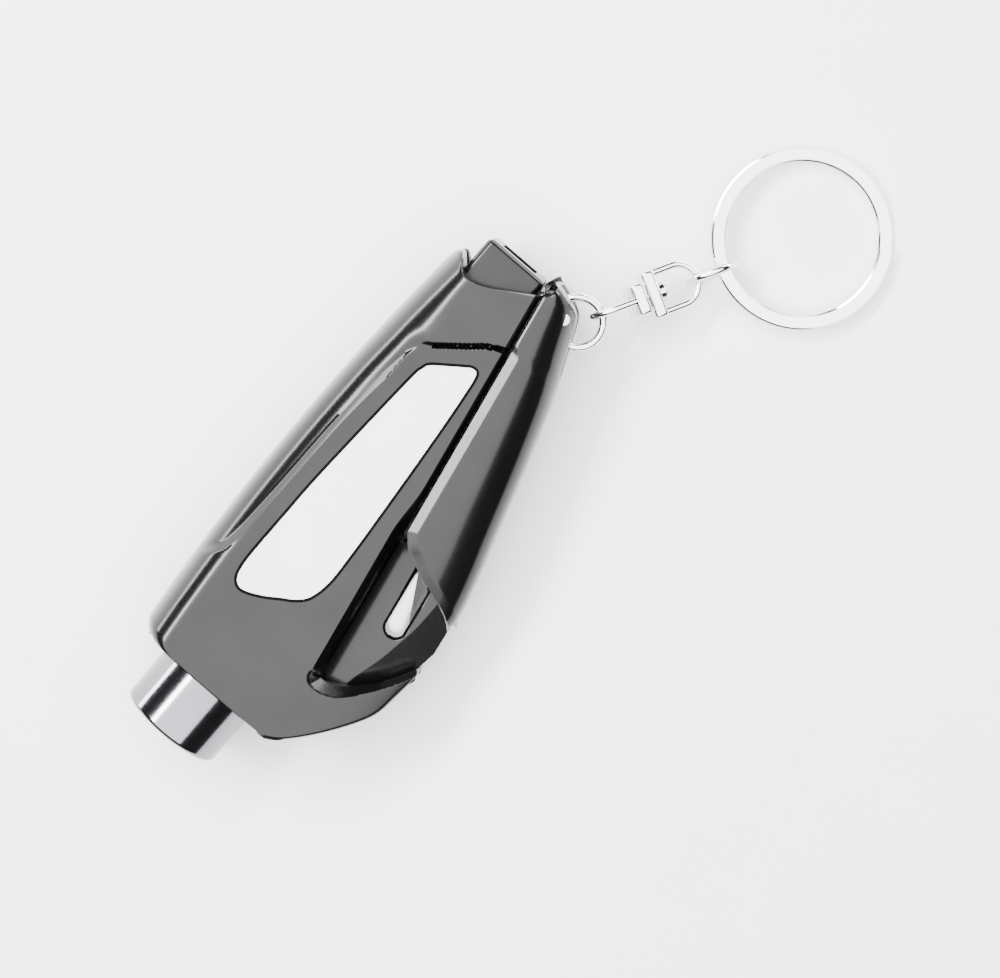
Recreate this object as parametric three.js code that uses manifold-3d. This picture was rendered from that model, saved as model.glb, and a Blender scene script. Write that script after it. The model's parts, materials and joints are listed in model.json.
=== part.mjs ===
// Keychain car escape tool: a press-to-fire window punch and a guarded seat-belt cutter on a swivel key ring.
//
// Everything is drawn in tool coordinates, in millimetres: X across the tool towards the belt cutter,
// Y along the punch axis from the nose face towards the key ring, Z towards the front face, with Z = 0 on
// the parting plane. The last group moves that frame so that the back face lies on Z = 0 and the origin is
// below the punch axis, halfway along the housing.

import * as THREE from "three";
import { LoftGeometry } from "three/addons/geometries/LoftGeometry.js";
import { mergeVertices } from "three/addons/utils/BufferGeometryUtils.js";
import Module from "manifold-3d";

const wasm = await Module();
wasm.setup();

// ---------------------------------------------------------------- driving dimensions

const GAP = 0.3; // seam left between two pieces that meet face to face
const HALF_THICK = 9.0; // parting plane to the front or back rest face
const PANEL_DROP = 0.5; // how far the label panel lies below the raised tail
const BAND_DROP = 1.35; // how far the side band lies below the raised tail
const ORIGIN_STATION = 44.0; // station on the punch axis that the part's origin lies below

// housing
const FOOT_Y = 9.0; // lower end face of the housing, where the nose comes out
const SIDE_X = -14.05; // most outward point of the bowed left side
const SIDE_Y = 46.0; // station of that point
const SIDE_RADIUS = 360.0; // bow of the left side
const SIDE_ROUND = 5.2; // width of the rounded left edge
const CROWN_X = 3.0; // where the front face starts to fall away to the right
const CROWN_FALL = 3.6; // how far it has fallen at the chin
const CHIN_X = 21.35; // most outward point of the chin
const CHIN_Y = 29.2;
const FOOT_CORNER = 2.0; // corner radius at the foot
const RIM_ROUND = 0.8; // inset of the rounded rim of the housing
const RIM_DEPTH = 4.0; // depth over which the rim is rounded
const WALL = 1.6;

// straight wall on the cutter side, which the guard slides along
const WALL_X = 7.45;
const WALL_Y = 42.0;
const WALL_LEAN = Math.atan2(5.5, 30.0); // lean of the wall from the punch axis

// web and hook of the belt cutter
const WEB_HALF = 3.5; // half the thickness of the web
const THROAT_X = 14.2; // centre of the throat at THROAT_Y
const THROAT_Y = 35.0;
const THROAT_WIDTH = 2.6;
const THROAT_DEPTH = 3.2; // from THROAT_Y down to the round end's centre
const RAIL_WIDTH = 3.0;
const RAIL_HALF = 1.4;
const RAIL_TOP = 76.0;

// blade
const BLADE_LENGTH = 9.0;
const BLADE_HEIGHT = 5.6;
const BLADE_THICK = 0.5;
const BLADE_EDGE_X = 14.4; // middle of the cutting edge
const BLADE_EDGE_Y = 35.4;
const BLADE_TURN = -Math.PI / 3;
const BLADE_GRIND = 1.1; // width of the ground bevel

// label inlays
const INLAY_THICK = 0.7;
const INLAY_PROUD = -0.1; // how far the front inlay stands above the panel
const BACK_INLAY_PROUD = PANEL_DROP; // the back inlay reaches the rest plane

// punch
const NOSE_RADIUS = 7.5;
const NOSE_LENGTH = 24.0;
const NOSE_WALL = 1.4;
const NOSE_FRONT = 2.2; // thickness of the striking wall
const NOSE_RIM = 0.7; // rounding of the rim
const NOSE_CLEAR = 0.2; // radial clearance in the housing
const NOSE_TRAVEL = 6.0;
const LUG_HEIGHT = 1.1;
const LUG_WIDTH = 3.0;
const LUG_LENGTH = 3.0;
const SPIKE_RADIUS = 1.9;
const SPIKE_TIP_Y = 1.2;
const SPIKE_CONE = 3.0;
const SPIKE_FLANGE_Y = 10.0;
const SPIKE_FLANGE = 2.5;
const SPIKE_CLEAR = 0.3;
const STEM_RADIUS = 1.1;
const STEM_LENGTH = 6.5;
const LINER_START = 19.2;
const LINER_LENGTH = 23.0;
const LINER_RADIUS = NOSE_RADIUS - NOSE_WALL - 0.6; // runs inside the sleeve as it is pressed in
const LINER_BORE = LINER_RADIUS - 0.8;
const HAMMER_RADIUS = LINER_BORE - 0.2;
const HAMMER_LENGTH = 10.0;
const HAMMER_HOLE_OFFSET = 1.9; // the trip hole is off the axis, so the stem pushes beside it
const SEAT_FLANGE = 3.0;
const MAIN_SPRING_RADIUS = HAMMER_RADIUS - 0.7;
const MAIN_WIRE = 0.45;
const MAIN_COILS = 5;
const RETURN_SPRING_RADIUS = (SPIKE_RADIUS + NOSE_RADIUS - NOSE_WALL) / 2;
const RETURN_WIRE = 0.35;
const RETURN_COILS = 3;

// tail plug
const PLUG_LEFT = -10.0;
const PLUG_WIDTH = 9.8;
const PLUG_TOP = 81.2;
const PLUG_LENGTH = 19.0;
const PLUG_HALF = 4.6;
const PLUG_ROUND = 1.1;
const PLUG_COLLAR = 0.9; // how far the collar stands out inside the housing
const PLUG_COLLAR_LENGTH = 3.0;

// guard
const GUARD_HALF = HALF_THICK - 1.0; // half thickness at the wall side
const GUARD_EDGE_HALF = 4.6; // half thickness at the outer edge
const GUARD_CHAMFER = 1.2; // chamfer along the wall side
const TONGUE_LENGTH = 3.2; // how far the tongue reaches into the throat
const RING_SLOT = 0.85; // half width of the slot for the jump ring
const PIN_X = 4.9; // cross pin that holds the jump ring
const PIN_Y = 79.3;
const PIN_RADIUS = 0.8;

// chain
const RING_WIRE = 0.55; // wire radius of the two jump rings
const RING_RADIUS = 3.45; // mean radius of the two jump rings
const RING_A_TURN = THREE.MathUtils.degToRad(17.4); // from the pin to the ring's centre
const RING_A_OFFSET = RING_RADIUS - RING_WIRE - PIN_RADIUS - 0.42; // the pin is inside the ring
const CHAIN_HEADING = THREE.MathUtils.degToRad(60.9);
const CHAIN_PITCH = THREE.MathUtils.degToRad(17.3); // the chain slopes down to the table
const LINK_WIRE = 0.52; // wire radius of the swivel's two bows
const LINK_PITCH = RING_WIRE + LINK_WIRE + 0.13; // centre to centre of two wires that hook each other
const BOW_HALF = 2.83; // half the width of a swivel bow, to the wire's centre
const BLOCK_SIZE = 4.4;
const BLOCK_LENGTH = 1.8;
const EYE_BLOCK = 5.25; // stations along the chain, from the first jump ring's wire
const BOW_BLOCK = 7.5;
const RIVET_RADIUS = 0.9;
const RIVET_HEAD = RIVET_RADIUS + 0.4;
const RIVET_HEAD_LENGTH = 1.2;
const BOW_TOP = 14.4;
const KEY_RING_RADIUS = 11.55; // mean radius of the split key ring
const KEY_RING_BAND = 1.9; // radial width of its strip
const KEY_RING_STRIP = 0.9; // thickness of one turn
const KEY_RING_SEAM = 0.1; // air between the two turns
const KEY_RING_SET = RING_WIRE + 0.25 + KEY_RING_BAND / 2; // from the far wire back to the strip
const KEY_RING_PITCH = THREE.MathUtils.degToRad(6.3);

// screws
const SCREW_RADIUS = 0.85;
const SCREW_HEAD_RADIUS = 1.7;
const SCREW_HEAD = 1.2;
const SCREW_LENGTH = 8.0;
const SCREWS = [
  [-10.6, 18.0],
  [-8.9, 56.0],
  [14.6, 16.6],
];

// ---------------------------------------------------------------- finishes

const finish = (color, roughness, metalness) =>
  new THREE.MeshStandardMaterial({ color, roughness, metalness });
const FINISHES = {
  gunmetal: finish(0x6f7072, 0.42, 0.25),
  plug: finish(0x5a5b5d, 0.45, 0.2),
  inlay: finish(0xf2f2f2, 0.12, 0.0),
  blackChrome: finish(0x55565a, 0.12, 1.0),
  steel: finish(0xc9cbcd, 0.25, 1.0),
  spring: finish(0x9a9ca0, 0.3, 1.0),
  brass: finish(0xb8964f, 0.35, 1.0),
  chrome: finish(0xe8e9ea, 0.08, 1.0),
};

// ---------------------------------------------------------------- solids and booleans

/** A closed geometry as a manifold solid. */
function solid(geometry) {
  const bare = geometry.index ? geometry.toNonIndexed() : geometry.clone();
  bare.deleteAttribute("normal");
  bare.deleteAttribute("uv");
  const merged = mergeVertices(bare, 1e-4);
  const index = Array.from(merged.index.array);
  const kept = [];
  for (let i = 0; i < index.length; i += 3) {
    const [a, b, c] = index.slice(i, i + 3);
    if (a !== b && b !== c && c !== a) kept.push(a, b, c);
  }
  return new wasm.Manifold(
    new wasm.Mesh({
      numProp: 3,
      vertProperties: merged.attributes.position.array,
      triVerts: new Uint32Array(kept),
    }),
  );
}

/** A manifold solid as a geometry. */
function geometryOf(made) {
  const mesh = made.getMesh();
  return new THREE.BufferGeometry()
    .setAttribute("position", new THREE.BufferAttribute(new Float32Array(mesh.vertProperties), 3))
    .setIndex(new THREE.BufferAttribute(new Uint32Array(mesh.triVerts), 1));
}

const unite = (...parts) => parts.reduce((all, one) => all.add(one));
const cutAll = (from, ...tools) => tools.reduce((left, tool) => left.subtract(tool), from);

/** An outline's corner points, without points that repeat or lie on a straight run. */
function corners(shape, steps) {
  const points = shape.getPoints(steps).filter((p, i, all) => i === 0 || p.distanceTo(all[i - 1]) > 0.2);
  if (points[0].distanceTo(points[points.length - 1]) < 0.2) points.pop();
  return points.filter((p, i, all) => {
    const before = all[(i + all.length - 1) % all.length];
    const after = all[(i + 1) % all.length];
    const bend = p.clone().sub(before).cross(after.clone().sub(p));
    return Math.abs(bend) > 1e-4 * before.distanceTo(after);
  });
}

/** A rounded-edge plate: an XY outline from low z to high z. */
function plate(shape, low, high, round = 0, roundDepth = round, steps = 3, curveSteps = 3) {
  const geometry = new THREE.ExtrudeGeometry(new THREE.Shape(corners(shape, curveSteps)), {
    depth: high - low - 2 * roundDepth,
    bevelEnabled: round > 0,
    bevelSize: round,
    bevelOffset: -round,
    bevelThickness: roundDepth,
    bevelSegments: steps,
  });
  return solid(geometry.translate(0, 0, low + roundDepth));
}

/** A body of revolution about the Y axis from [radius, y] points, first and last on the axis. */
function turned(points, segments = 36) {
  const profile = points.map(([radius, y]) => new THREE.Vector2(radius, y));
  return solid(new THREE.LatheGeometry(profile, segments));
}

/** A cylinder along Y from one station to another. */
const rod = (radius, from, to, segments = 36) =>
  turned([[0, from], [radius, from], [radius, to], [0, to]], segments);

/** A box given by its low and high corners. */
function block(low, high) {
  const size = high.map((value, axis) => value - low[axis]);
  const centre = high.map((value, axis) => (value + low[axis]) / 2);
  return solid(new THREE.BoxGeometry(...size).translate(...centre));
}

/** A wire of round section along a curve. */
function wire(curve, radius, steps, sides = 8) {
  const section = new THREE.Shape().absarc(0, 0, radius, 0, 2 * Math.PI);
  const geometry = new THREE.ExtrudeGeometry(section, {
    steps,
    curveSegments: sides,
    bevelEnabled: false,
    extrudePath: curve,
  });
  return solid(geometry);
}

/** A ring of round wire in the XY plane. */
const hoop = (radius, wireRadius) => new THREE.TorusGeometry(radius, wireRadius, 8, 24);

/** A compression spring along Y with its ends ground flat by the stations that it fills. */
function coil(radius, wireRadius, coils, from, to) {
  const low = from + wireRadius;
  const rise = to - from - 2 * wireRadius;
  const STEPS = 10;
  const points = [];
  for (let i = 0; i <= coils * STEPS; i++) {
    const turn = (i / STEPS) * 2 * Math.PI;
    const y = low + (rise * i) / (coils * STEPS);
    points.push(new THREE.Vector3(radius * Math.cos(turn), y, radius * Math.sin(turn)));
  }
  return wire(new THREE.CatmullRomCurve3(points), wireRadius, coils * STEPS, 3);
}

// ---------------------------------------------------------------- outlines

/** X of the bowed left side at a station. */
const sideAt = (y) => SIDE_X + (y - SIDE_Y) ** 2 / (2 * SIDE_RADIUS);

/** X of the straight wall at a station. */
const wallAt = (y) => WALL_X - (y - WALL_Y) * Math.tan(WALL_LEAN);

/** Half thickness of the raised tail at X, right of the rounded side. */
const crownAt = (x) => HALF_THICK - CROWN_FALL * Math.max(0, (x - CROWN_X) / (CHIN_X - CROWN_X)) ** 2;

/** Adds a smooth curve through points to a shape. */
const through = (shape, points) => shape.splineThru(points.map(([x, y]) => new THREE.Vector2(x, y)));

const TAIL_Y = 79.8; // top of the wall
const VALLEY = [-8.3, 75.2]; // lowest point of the tail's scoop
const PEAK = [-11.7, 77.2]; // tip of the ridge
const TIP_RADIUS = 1.1; // rounding of the chin's tip
const TIP = [CHIN_X - TIP_RADIUS, CHIN_Y - TIP_RADIUS];
const LIP = [[18.7, 26.4], [17.2, 23.9], [14.6, 21.4], [12.2, 20.2]];
const WEB_TOP = [[10.6, 41.0], [13.0, 39.7], [16.3, 38.2], [18.3, 37.1]];
const WEB_END = [20.45, 35.6];

/** Silhouette of the housing without its web. */
function housingOutline() {
  const out = SIDE_X - 2;
  const corner = FOOT_Y + FOOT_CORNER;
  const shape = new THREE.Shape().moveTo(out, corner + 2).lineTo(sideAt(corner), corner);
  shape.quadraticCurveTo(sideAt(FOOT_Y), FOOT_Y, sideAt(FOOT_Y) + FOOT_CORNER, FOOT_Y);
  shape.lineTo(10.8, FOOT_Y);
  through(shape, [[13.0, 10.4], [16.2, 14.0], [19.2, 18.4], [20.6, 21.4], [21.0, 24.6]]);
  shape.absarc(...TIP, TIP_RADIUS, 0, 0.85 * Math.PI);
  through(shape, [...LIP, [wallAt(20), 20]]);
  shape.lineTo(wallAt(TAIL_Y), TAIL_Y);
  through(shape, [[-2.4, 78.1], [-5.9, 76.1], VALLEY, [-10.0, 75.9], [-10.9, 76.9], PEAK]);
  return shape.lineTo(out, PEAK[1]);
}

const RIDGE = [[-11.2, 24.9], [-10.1, 27.0], [-9.9, 36.0], [-9.85, 50.0], [-8.75, 61.0]];
const BAND_FOOT = [-12.8, 23.0];
const BAND_HEAD = [-9.6, 64.5];
const BAND_RISE = 3.0; // how much higher the band's upper end is at its left

/** Plan of the lowered side band, left of the ridge. */
function bandOutline() {
  const shape = new THREE.Shape().moveTo(-20, BAND_FOOT[1]).lineTo(...BAND_FOOT);
  through(shape, RIDGE);
  return shape.lineTo(...BAND_HEAD).lineTo(-20, BAND_HEAD[1] + BAND_RISE);
}

/** Plan of the raised tail, above the label panel's top edge. */
function saddleOutline() {
  const shape = new THREE.Shape().moveTo(-20, BAND_HEAD[1] + BAND_RISE);
  shape.lineTo(...BAND_HEAD).lineTo(-7.2, 65.1);
  through(shape, [[-2.65, 68.6], [1.95, 71.5]]);
  return shape.lineTo(12, 71.5).lineTo(12, 90).lineTo(-20, 90);
}

/** Plan of the label window, grown by an allowance. */
function inlayOutline(grow) {
  const g = grow;
  const shape = new THREE.Shape().moveTo(1.05 + g, 65.0).lineTo(3.3 + g, 42.0);
  through(shape, [[3.75 + g, 36.0], [3.85 + g, 31.0], [2.9 + g, 27.9 - g], [0.8 + g, 25.8 - g]]);
  through(shape, [[-2.0, 23.9 - g], [-4.5, 22.9 - g], [-5.9 - g, 23.5 - g], [-6.55 - g, 26.5]]);
  shape.lineTo(-6.55 - g, 42.0).lineTo(-5.3 - g, 62.0);
  through(shape, [[-4.5 - g, 63.4 + g], [-1.0, 66.1 + g], [0.3 + g, 66.3 + g], [1.05 + g, 65.0]]);
  return shape;
}

/** The web: hook finger, throat floor and the guard's rail. */
function webOutline() {
  const shape = new THREE.Shape().moveTo(wallAt(16) - 2, 16).lineTo(17.0, 19.0).lineTo(20.2, 26.0);
  through(shape, [[20.95, 29.6], [20.8, 32.0], WEB_END, ...WEB_TOP.slice().reverse(), [wallAt(43), 43]]);
  return shape.lineTo(wallAt(43) - 2, 43);
}

/** Plan of the guard. */
function guardOutline() {
  const left = (y) => wallAt(y) + GAP + 0.1;
  const shape = new THREE.Shape().moveTo(left(43.4), 43.4 + GAP);
  through(shape, [...WEB_TOP.map(([x, y]) => [x + 0.1, y + GAP + 0.1])]);
  shape.absarc(19.65, 37.7, 0.95, 1.36 * Math.PI, 2 * Math.PI);
  through(shape, [[20.15, 40.0], [17.15, 50.0], [14.05, 60.0], [11.0, 69.0], [8.4, 75.0]]);
  through(shape, [[6.7, 79.2], [5.7, 80.7], [3.4, 81.7], [1.9, 82.1], [left(81), 81.0]]);
  return shape;
}

/** A loft along Y whose sections have the housing's rounded side and falling crown. */
function pillow(drop) {
  const stations = [2, 12, 22, 32, 42, 52, 62, 72, 82, 92];
  const ROUND_STEPS = 7;
  const FALL = [6.5, 10.0, 13.5, 17.0, 20.0, 24.0];
  const sections = stations.map((y) => {
    const side = sideAt(y);
    const top = [];
    for (let i = 1; i <= ROUND_STEPS; i++) {
      const turn = (i / ROUND_STEPS) * (Math.PI / 2);
      top.push([side + SIDE_ROUND * (1 - Math.cos(turn)), (HALF_THICK - drop) * Math.sin(turn)]);
    }
    top.push([CROWN_X, HALF_THICK - drop]);
    FALL.forEach((x) => top.push([x, crownAt(x) - drop]));
    const under = top.map(([x, z]) => [x, -z]).reverse();
    return [[side, 0], ...top, ...under].map(([x, z]) => new THREE.Vector3(x, y, z));
  });
  return solid(new LoftGeometry(sections, { capStart: true, capEnd: true }));
}

// ---------------------------------------------------------------- housing

/** Direction along the wall, towards the tail. */
const SLIDE = new THREE.Vector2(-Math.sin(WALL_LEAN), Math.cos(WALL_LEAN));

/** A slot of round ends along the slide direction, from a start point. */
function slotShape(x, y, width, below, above) {
  const slot = new THREE.Shape().absarc(0, -below, width / 2, Math.PI, 2 * Math.PI);
  slot.lineTo(width / 2, above).lineTo(-width / 2, above);
  const points = slot.getPoints(8).map((p) => p.rotateAround(new THREE.Vector2(), WALL_LEAN));
  return new THREE.Shape(points.map((p) => new THREE.Vector2(p.x + x, p.y + y)));
}

const THROAT = () => slotShape(THROAT_X, THROAT_Y, THROAT_WIDTH, THROAT_DEPTH, 12);

/** Both halves of the housing as one solid, with all its pockets cut. */
function housing() {
  const silhouette = plate(housingOutline(), -HALF_THICK, HALF_THICK, RIM_ROUND, RIM_DEPTH, 4);
  const past = HALF_THICK + 1;
  const saddle = pillow(0).intersect(plate(saddleOutline(), -past, past));
  const panel = pillow(PANEL_DROP).subtract(plate(bandOutline(), -past, past));
  const shell = silhouette.intersect(unite(pillow(BAND_DROP), panel, saddle));
  const web = cutAll(plate(webOutline(), -WEB_HALF, WEB_HALF, 0.8), plate(THROAT(), -9, 9));
  return cutAll(unite(shell, web, rail()), ...pockets());
}

/** The rail that the guard slides on. */
function rail() {
  const shape = new THREE.Shape()
    .moveTo(wallAt(40) - 1, 40)
    .lineTo(wallAt(40) + RAIL_WIDTH, 40)
    .lineTo(wallAt(RAIL_TOP) + RAIL_WIDTH, RAIL_TOP)
    .lineTo(wallAt(RAIL_TOP) - 1, RAIL_TOP);
  return plate(shape, -RAIL_HALF, RAIL_HALF);
}

/** What is cut out of the housing: punch bores, tail cavity, inlay windows, blade seat, screw holes. */
function pockets() {
  const bore = NOSE_RADIUS + NOSE_CLEAR;
  const rest = NOSE_LENGTH - LUG_LENGTH;
  const reach = NOSE_RADIUS + LUG_HEIGHT + NOSE_CLEAR;
  const nose = rod(bore, FOOT_Y - 2, NOSE_LENGTH + NOSE_TRAVEL + 0.6);
  const lugs = block(
    [-reach, rest - GAP, -LUG_WIDTH / 2 - NOSE_CLEAR],
    [reach, NOSE_LENGTH + NOSE_TRAVEL + 0.6, LUG_WIDTH / 2 + NOSE_CLEAR],
  );
  const liner = rod(LINER_RADIUS + 0.15, NOSE_LENGTH, LINER_START + LINER_LENGTH + SEAT_FLANGE + 0.6);
  return [nose, lugs, liner, tailCavity(), plugPocket(), bladeSeat(), ...inlaySeats(), ...screwHoles()];
}

/** Hollow between the punch and the tail plug. */
function tailCavity() {
  const low = LINER_START + LINER_LENGTH + SEAT_FLANGE + 3;
  const high = PLUG_TOP - PLUG_LENGTH - 1;
  const shape = new THREE.Shape()
    .moveTo(sideAt(low) + SIDE_ROUND - 2.4, low)
    .lineTo(wallAt(low) - WALL, low)
    .lineTo(wallAt(high) - WALL, high)
    .lineTo(sideAt(high) + SIDE_ROUND - 2.4, high);
  const z = HALF_THICK - PANEL_DROP - WALL - INLAY_THICK;
  return plate(shape, -z, z);
}

/** Plan of the tail plug, which is one shank with a collar at its inner end. */
function plugOutline(grow) {
  const low = PLUG_TOP - PLUG_LENGTH - grow;
  const left = PLUG_LEFT - grow;
  const right = PLUG_LEFT + PLUG_WIDTH + grow;
  const collar = low + PLUG_COLLAR_LENGTH + 2 * grow;
  return new THREE.Shape()
    .moveTo(left - PLUG_COLLAR, low)
    .lineTo(right, low)
    .lineTo(right, PLUG_TOP + 8 * grow)
    .lineTo(left, PLUG_TOP + 8 * grow)
    .lineTo(left, collar)
    .lineTo(left - PLUG_COLLAR, collar);
}

const plugPocket = () => plate(plugOutline(0.2), -PLUG_HALF - 0.2, PLUG_HALF + 0.2);

/** Seat for the blade, thinner than the throat's plan so that the web clamps it. */
function bladeSeat() {
  const clear = 0.1;
  const shape = bladeShape(clear);
  return plate(shape, -BLADE_THICK / 2 - clear, BLADE_THICK / 2 + clear);
}

/** Plan of the blade blank, turned into place. */
function bladeShape(grow) {
  const half = BLADE_LENGTH / 2 + grow;
  const corners = [[-half, -BLADE_HEIGHT - grow], [half, -BLADE_HEIGHT - grow], [half, grow], [-half, grow]];
  const centre = new THREE.Vector2(BLADE_EDGE_X, BLADE_EDGE_Y);
  const origin = new THREE.Vector2();
  return new THREE.Shape(
    corners.map(([x, y]) => new THREE.Vector2(x, y).rotateAround(origin, BLADE_TURN).add(centre)),
  );
}

const panelZ = HALF_THICK - PANEL_DROP;

/** Front and back seats for the label inlays. */
function inlaySeats() {
  const floor = panelZ + INLAY_PROUD - INLAY_THICK - 0.1;
  const seat = () => inlayOutline(0.25);
  return [plate(seat(), floor, HALF_THICK + 2), plate(seat(), -HALF_THICK - 2, -floor)];
}

/** Z of a screw head's seat: deep enough for the head to stay below the rolled edge. */
function screwSeat(x, y) {
  const besideBand = x < 0 && y > BAND_FOOT[1] && y < BAND_HEAD[1];
  const face = backAt(x + Math.sign(x) * (SCREW_HEAD_RADIUS + 0.3));
  return SCREW_HEAD + 0.3 - face + (besideBand ? BAND_DROP - PANEL_DROP : 0);
}

/** Clearance and thread holes for the screws that join the halves from the back. */
function screwHoles() {
  return SCREWS.map(([x, y]) => {
    const shank = new THREE.CylinderGeometry(SCREW_RADIUS + 0.1, SCREW_RADIUS + 0.1, SCREW_LENGTH + 0.6, 14);
    const head = new THREE.CylinderGeometry(SCREW_HEAD_RADIUS + 0.2, SCREW_HEAD_RADIUS + 0.2, 9, 18);
    const seat = screwSeat(x, y) + 0.05;
    shank.rotateX(Math.PI / 2).translate(x, y, seat + SCREW_LENGTH / 2);
    head.rotateX(Math.PI / 2).translate(x, y, seat - 4.5);
    return solid(shank).add(solid(head));
  });
}

/** Half thickness of the lower panel at X, near the rolled left edge and the falling crown. */
const backAt = (x) => {
  const fromSide = Math.max(0, SIDE_X + 1 + SIDE_ROUND - x) / SIDE_ROUND;
  return (crownAt(x) - PANEL_DROP) * Math.sqrt(1 - Math.min(1, fromSide) ** 2);
};

// ---------------------------------------------------------------- guard

/** The blade guard: a clip that slides along the wall and covers the cutting edge. */
function guard() {
  const body = plate(guardOutline(), -GUARD_HALF, GUARD_HALF, 0.6, 2.4, 3).intersect(guardSection());
  const railSlot = new THREE.Shape()
    .moveTo(wallAt(30), 30)
    .lineTo(wallAt(30) + RAIL_WIDTH + 0.4, 30)
    .lineTo(wallAt(RAIL_TOP + 0.5) + RAIL_WIDTH + 0.4, RAIL_TOP + 0.5)
    .lineTo(wallAt(RAIL_TOP + 0.5), RAIL_TOP + 0.5);
  const ringRoom = new THREE.Shape()
    .moveTo(2.0, 72.6)
    .lineTo(14, 70.5)
    .lineTo(14, 86)
    .lineTo(2.0, 86);
  const railCut = plate(railSlot, -RAIL_HALF - 0.3, RAIL_HALF + 0.3);
  const ringCut = plate(ringRoom, -RING_SLOT, RING_SLOT);
  const pinHole = new THREE.CylinderGeometry(PIN_RADIUS + 0.1, PIN_RADIUS + 0.1, 3 * HALF_THICK, 16);
  pinHole.rotateX(Math.PI / 2).translate(PIN_X, PIN_Y, 0);
  return cutAll(unite(body, tongue()), railCut, ringCut, solid(pinHole), bladeSlit());
}

/** Section that the guard keeps: chamfered along the wall and falling to its outer edge. */
function guardSection() {
  const stations = [30, 45, 60, 75, 90];
  const sections = stations.map((y) => {
    const left = wallAt(y) + GAP + 0.1;
    const width = 13.2 - ((y - 38) / 44) * 7.4;
    const top = [[left, GUARD_HALF - GUARD_CHAMFER], [left + GUARD_CHAMFER, GUARD_HALF]];
    for (let i = 1; i <= 5; i++) {
      const share = i / 5;
      const z = GUARD_HALF - (GUARD_HALF - GUARD_EDGE_HALF) * share ** 2;
      top.push([left + GUARD_CHAMFER + (width - GUARD_CHAMFER) * share, z]);
    }
    const end = top[top.length - 1];
    top.push([end[0] + 6, end[1] - 1.6]);
    const under = top.map(([x, z]) => [x, -z]).reverse();
    return [...top, ...under].map(([x, z]) => new THREE.Vector3(x, y, z));
  });
  return solid(new LoftGeometry(sections, { capStart: true, capEnd: true }));
}

/** The tongue that closes the throat over the blade. */
function tongue() {
  const shape = slotShape(
    THROAT_X + SLIDE.x * 4.2,
    THROAT_Y + SLIDE.y * 4.2,
    THROAT_WIDTH - 0.5,
    TONGUE_LENGTH - 2.1,
    5,
  );
  return plate(shape, -WEB_HALF + 0.3, WEB_HALF - 0.3);
}

/** Slit in the tongue that lets it pass over the blade. */
function bladeSlit() {
  const slit = slotShape(THROAT_X, THROAT_Y, THROAT_WIDTH + 1, THROAT_DEPTH, 7.2);
  return plate(slit, -BLADE_THICK / 2 - 0.25, BLADE_THICK / 2 + 0.25);
}

// ---------------------------------------------------------------- punch

/** The chromed sleeve that is pressed against the glass. */
function noseSleeve() {
  const inner = NOSE_RADIUS - NOSE_WALL;
  const rim = [];
  for (let i = 0; i <= 4; i++) {
    const turn = (i / 4) * (Math.PI / 2);
    rim.push([NOSE_RADIUS - NOSE_RIM * (1 - Math.sin(turn)), NOSE_RIM * (1 - Math.cos(turn))]);
  }
  const outside = turned([[0, 0], ...rim, [NOSE_RADIUS, NOSE_LENGTH], [0, NOSE_LENGTH]], 48);
  const reach = NOSE_RADIUS + LUG_HEIGHT;
  const lugs = block(
    [-reach, NOSE_LENGTH - LUG_LENGTH, -LUG_WIDTH / 2],
    [reach, NOSE_LENGTH, LUG_WIDTH / 2],
  );
  return cutAll(
    unite(outside, lugs),
    rod(inner, NOSE_FRONT, NOSE_LENGTH + 2, 40),
    rod(SPIKE_RADIUS + SPIKE_CLEAR, -1, NOSE_FRONT + 1, 24),
  );
}

/** The hardened striking spike with its guide flange and stem. */
function spike() {
  const flange = NOSE_RADIUS - NOSE_WALL - 0.2;
  const high = SPIKE_FLANGE_Y + SPIKE_FLANGE;
  return turned(
    [
      [0, SPIKE_TIP_Y],
      [SPIKE_RADIUS, SPIKE_TIP_Y + SPIKE_CONE],
      [SPIKE_RADIUS, SPIKE_FLANGE_Y],
      [flange, SPIKE_FLANGE_Y],
      [flange, high],
      [STEM_RADIUS, high],
      [STEM_RADIUS, high + STEM_LENGTH],
      [0, high + STEM_LENGTH],
    ],
    28,
  );
}

const stemEnd = SPIKE_FLANGE_Y + SPIKE_FLANGE + STEM_LENGTH;
const hammerStart = stemEnd + GAP;
const hammerEnd = hammerStart + HAMMER_LENGTH;
const linerEnd = LINER_START + LINER_LENGTH;

/** The hammer: a plain slug with a trip hole beside its axis. */
function hammer() {
  const hole = rod(STEM_RADIUS + 0.25, hammerStart - 1, hammerEnd - 2, 16);
  const slug = rod(HAMMER_RADIUS, hammerStart, hammerEnd, 28);
  return slug.subtract(hole.translate([HAMMER_HOLE_OFFSET + 0.6, 0, 0]));
}

const liner = () =>
  rod(LINER_RADIUS, LINER_START, linerEnd, 32).subtract(rod(LINER_BORE, LINER_START - 1, linerEnd + 1, 32));

/** The brass seat that closes the liner behind the main spring. */
const springSeat = () => rod(LINER_RADIUS, linerEnd + 0.15, linerEnd + SEAT_FLANGE, 32);

// ---------------------------------------------------------------- tail plug, blade, inlays, screws

/** The moulded plug between the two tail ends. */
function tailPlug() {
  const body = plate(plugOutline(0), -PLUG_HALF, PLUG_HALF, PLUG_ROUND, PLUG_ROUND, 3);
  const groove = block(
    [PLUG_LEFT + 1.8, PLUG_TOP - 1.6, -1.1],
    [PLUG_LEFT + PLUG_WIDTH - 1.8, PLUG_TOP + 1, 1.1],
  );
  return body.subtract(groove);
}

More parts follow.
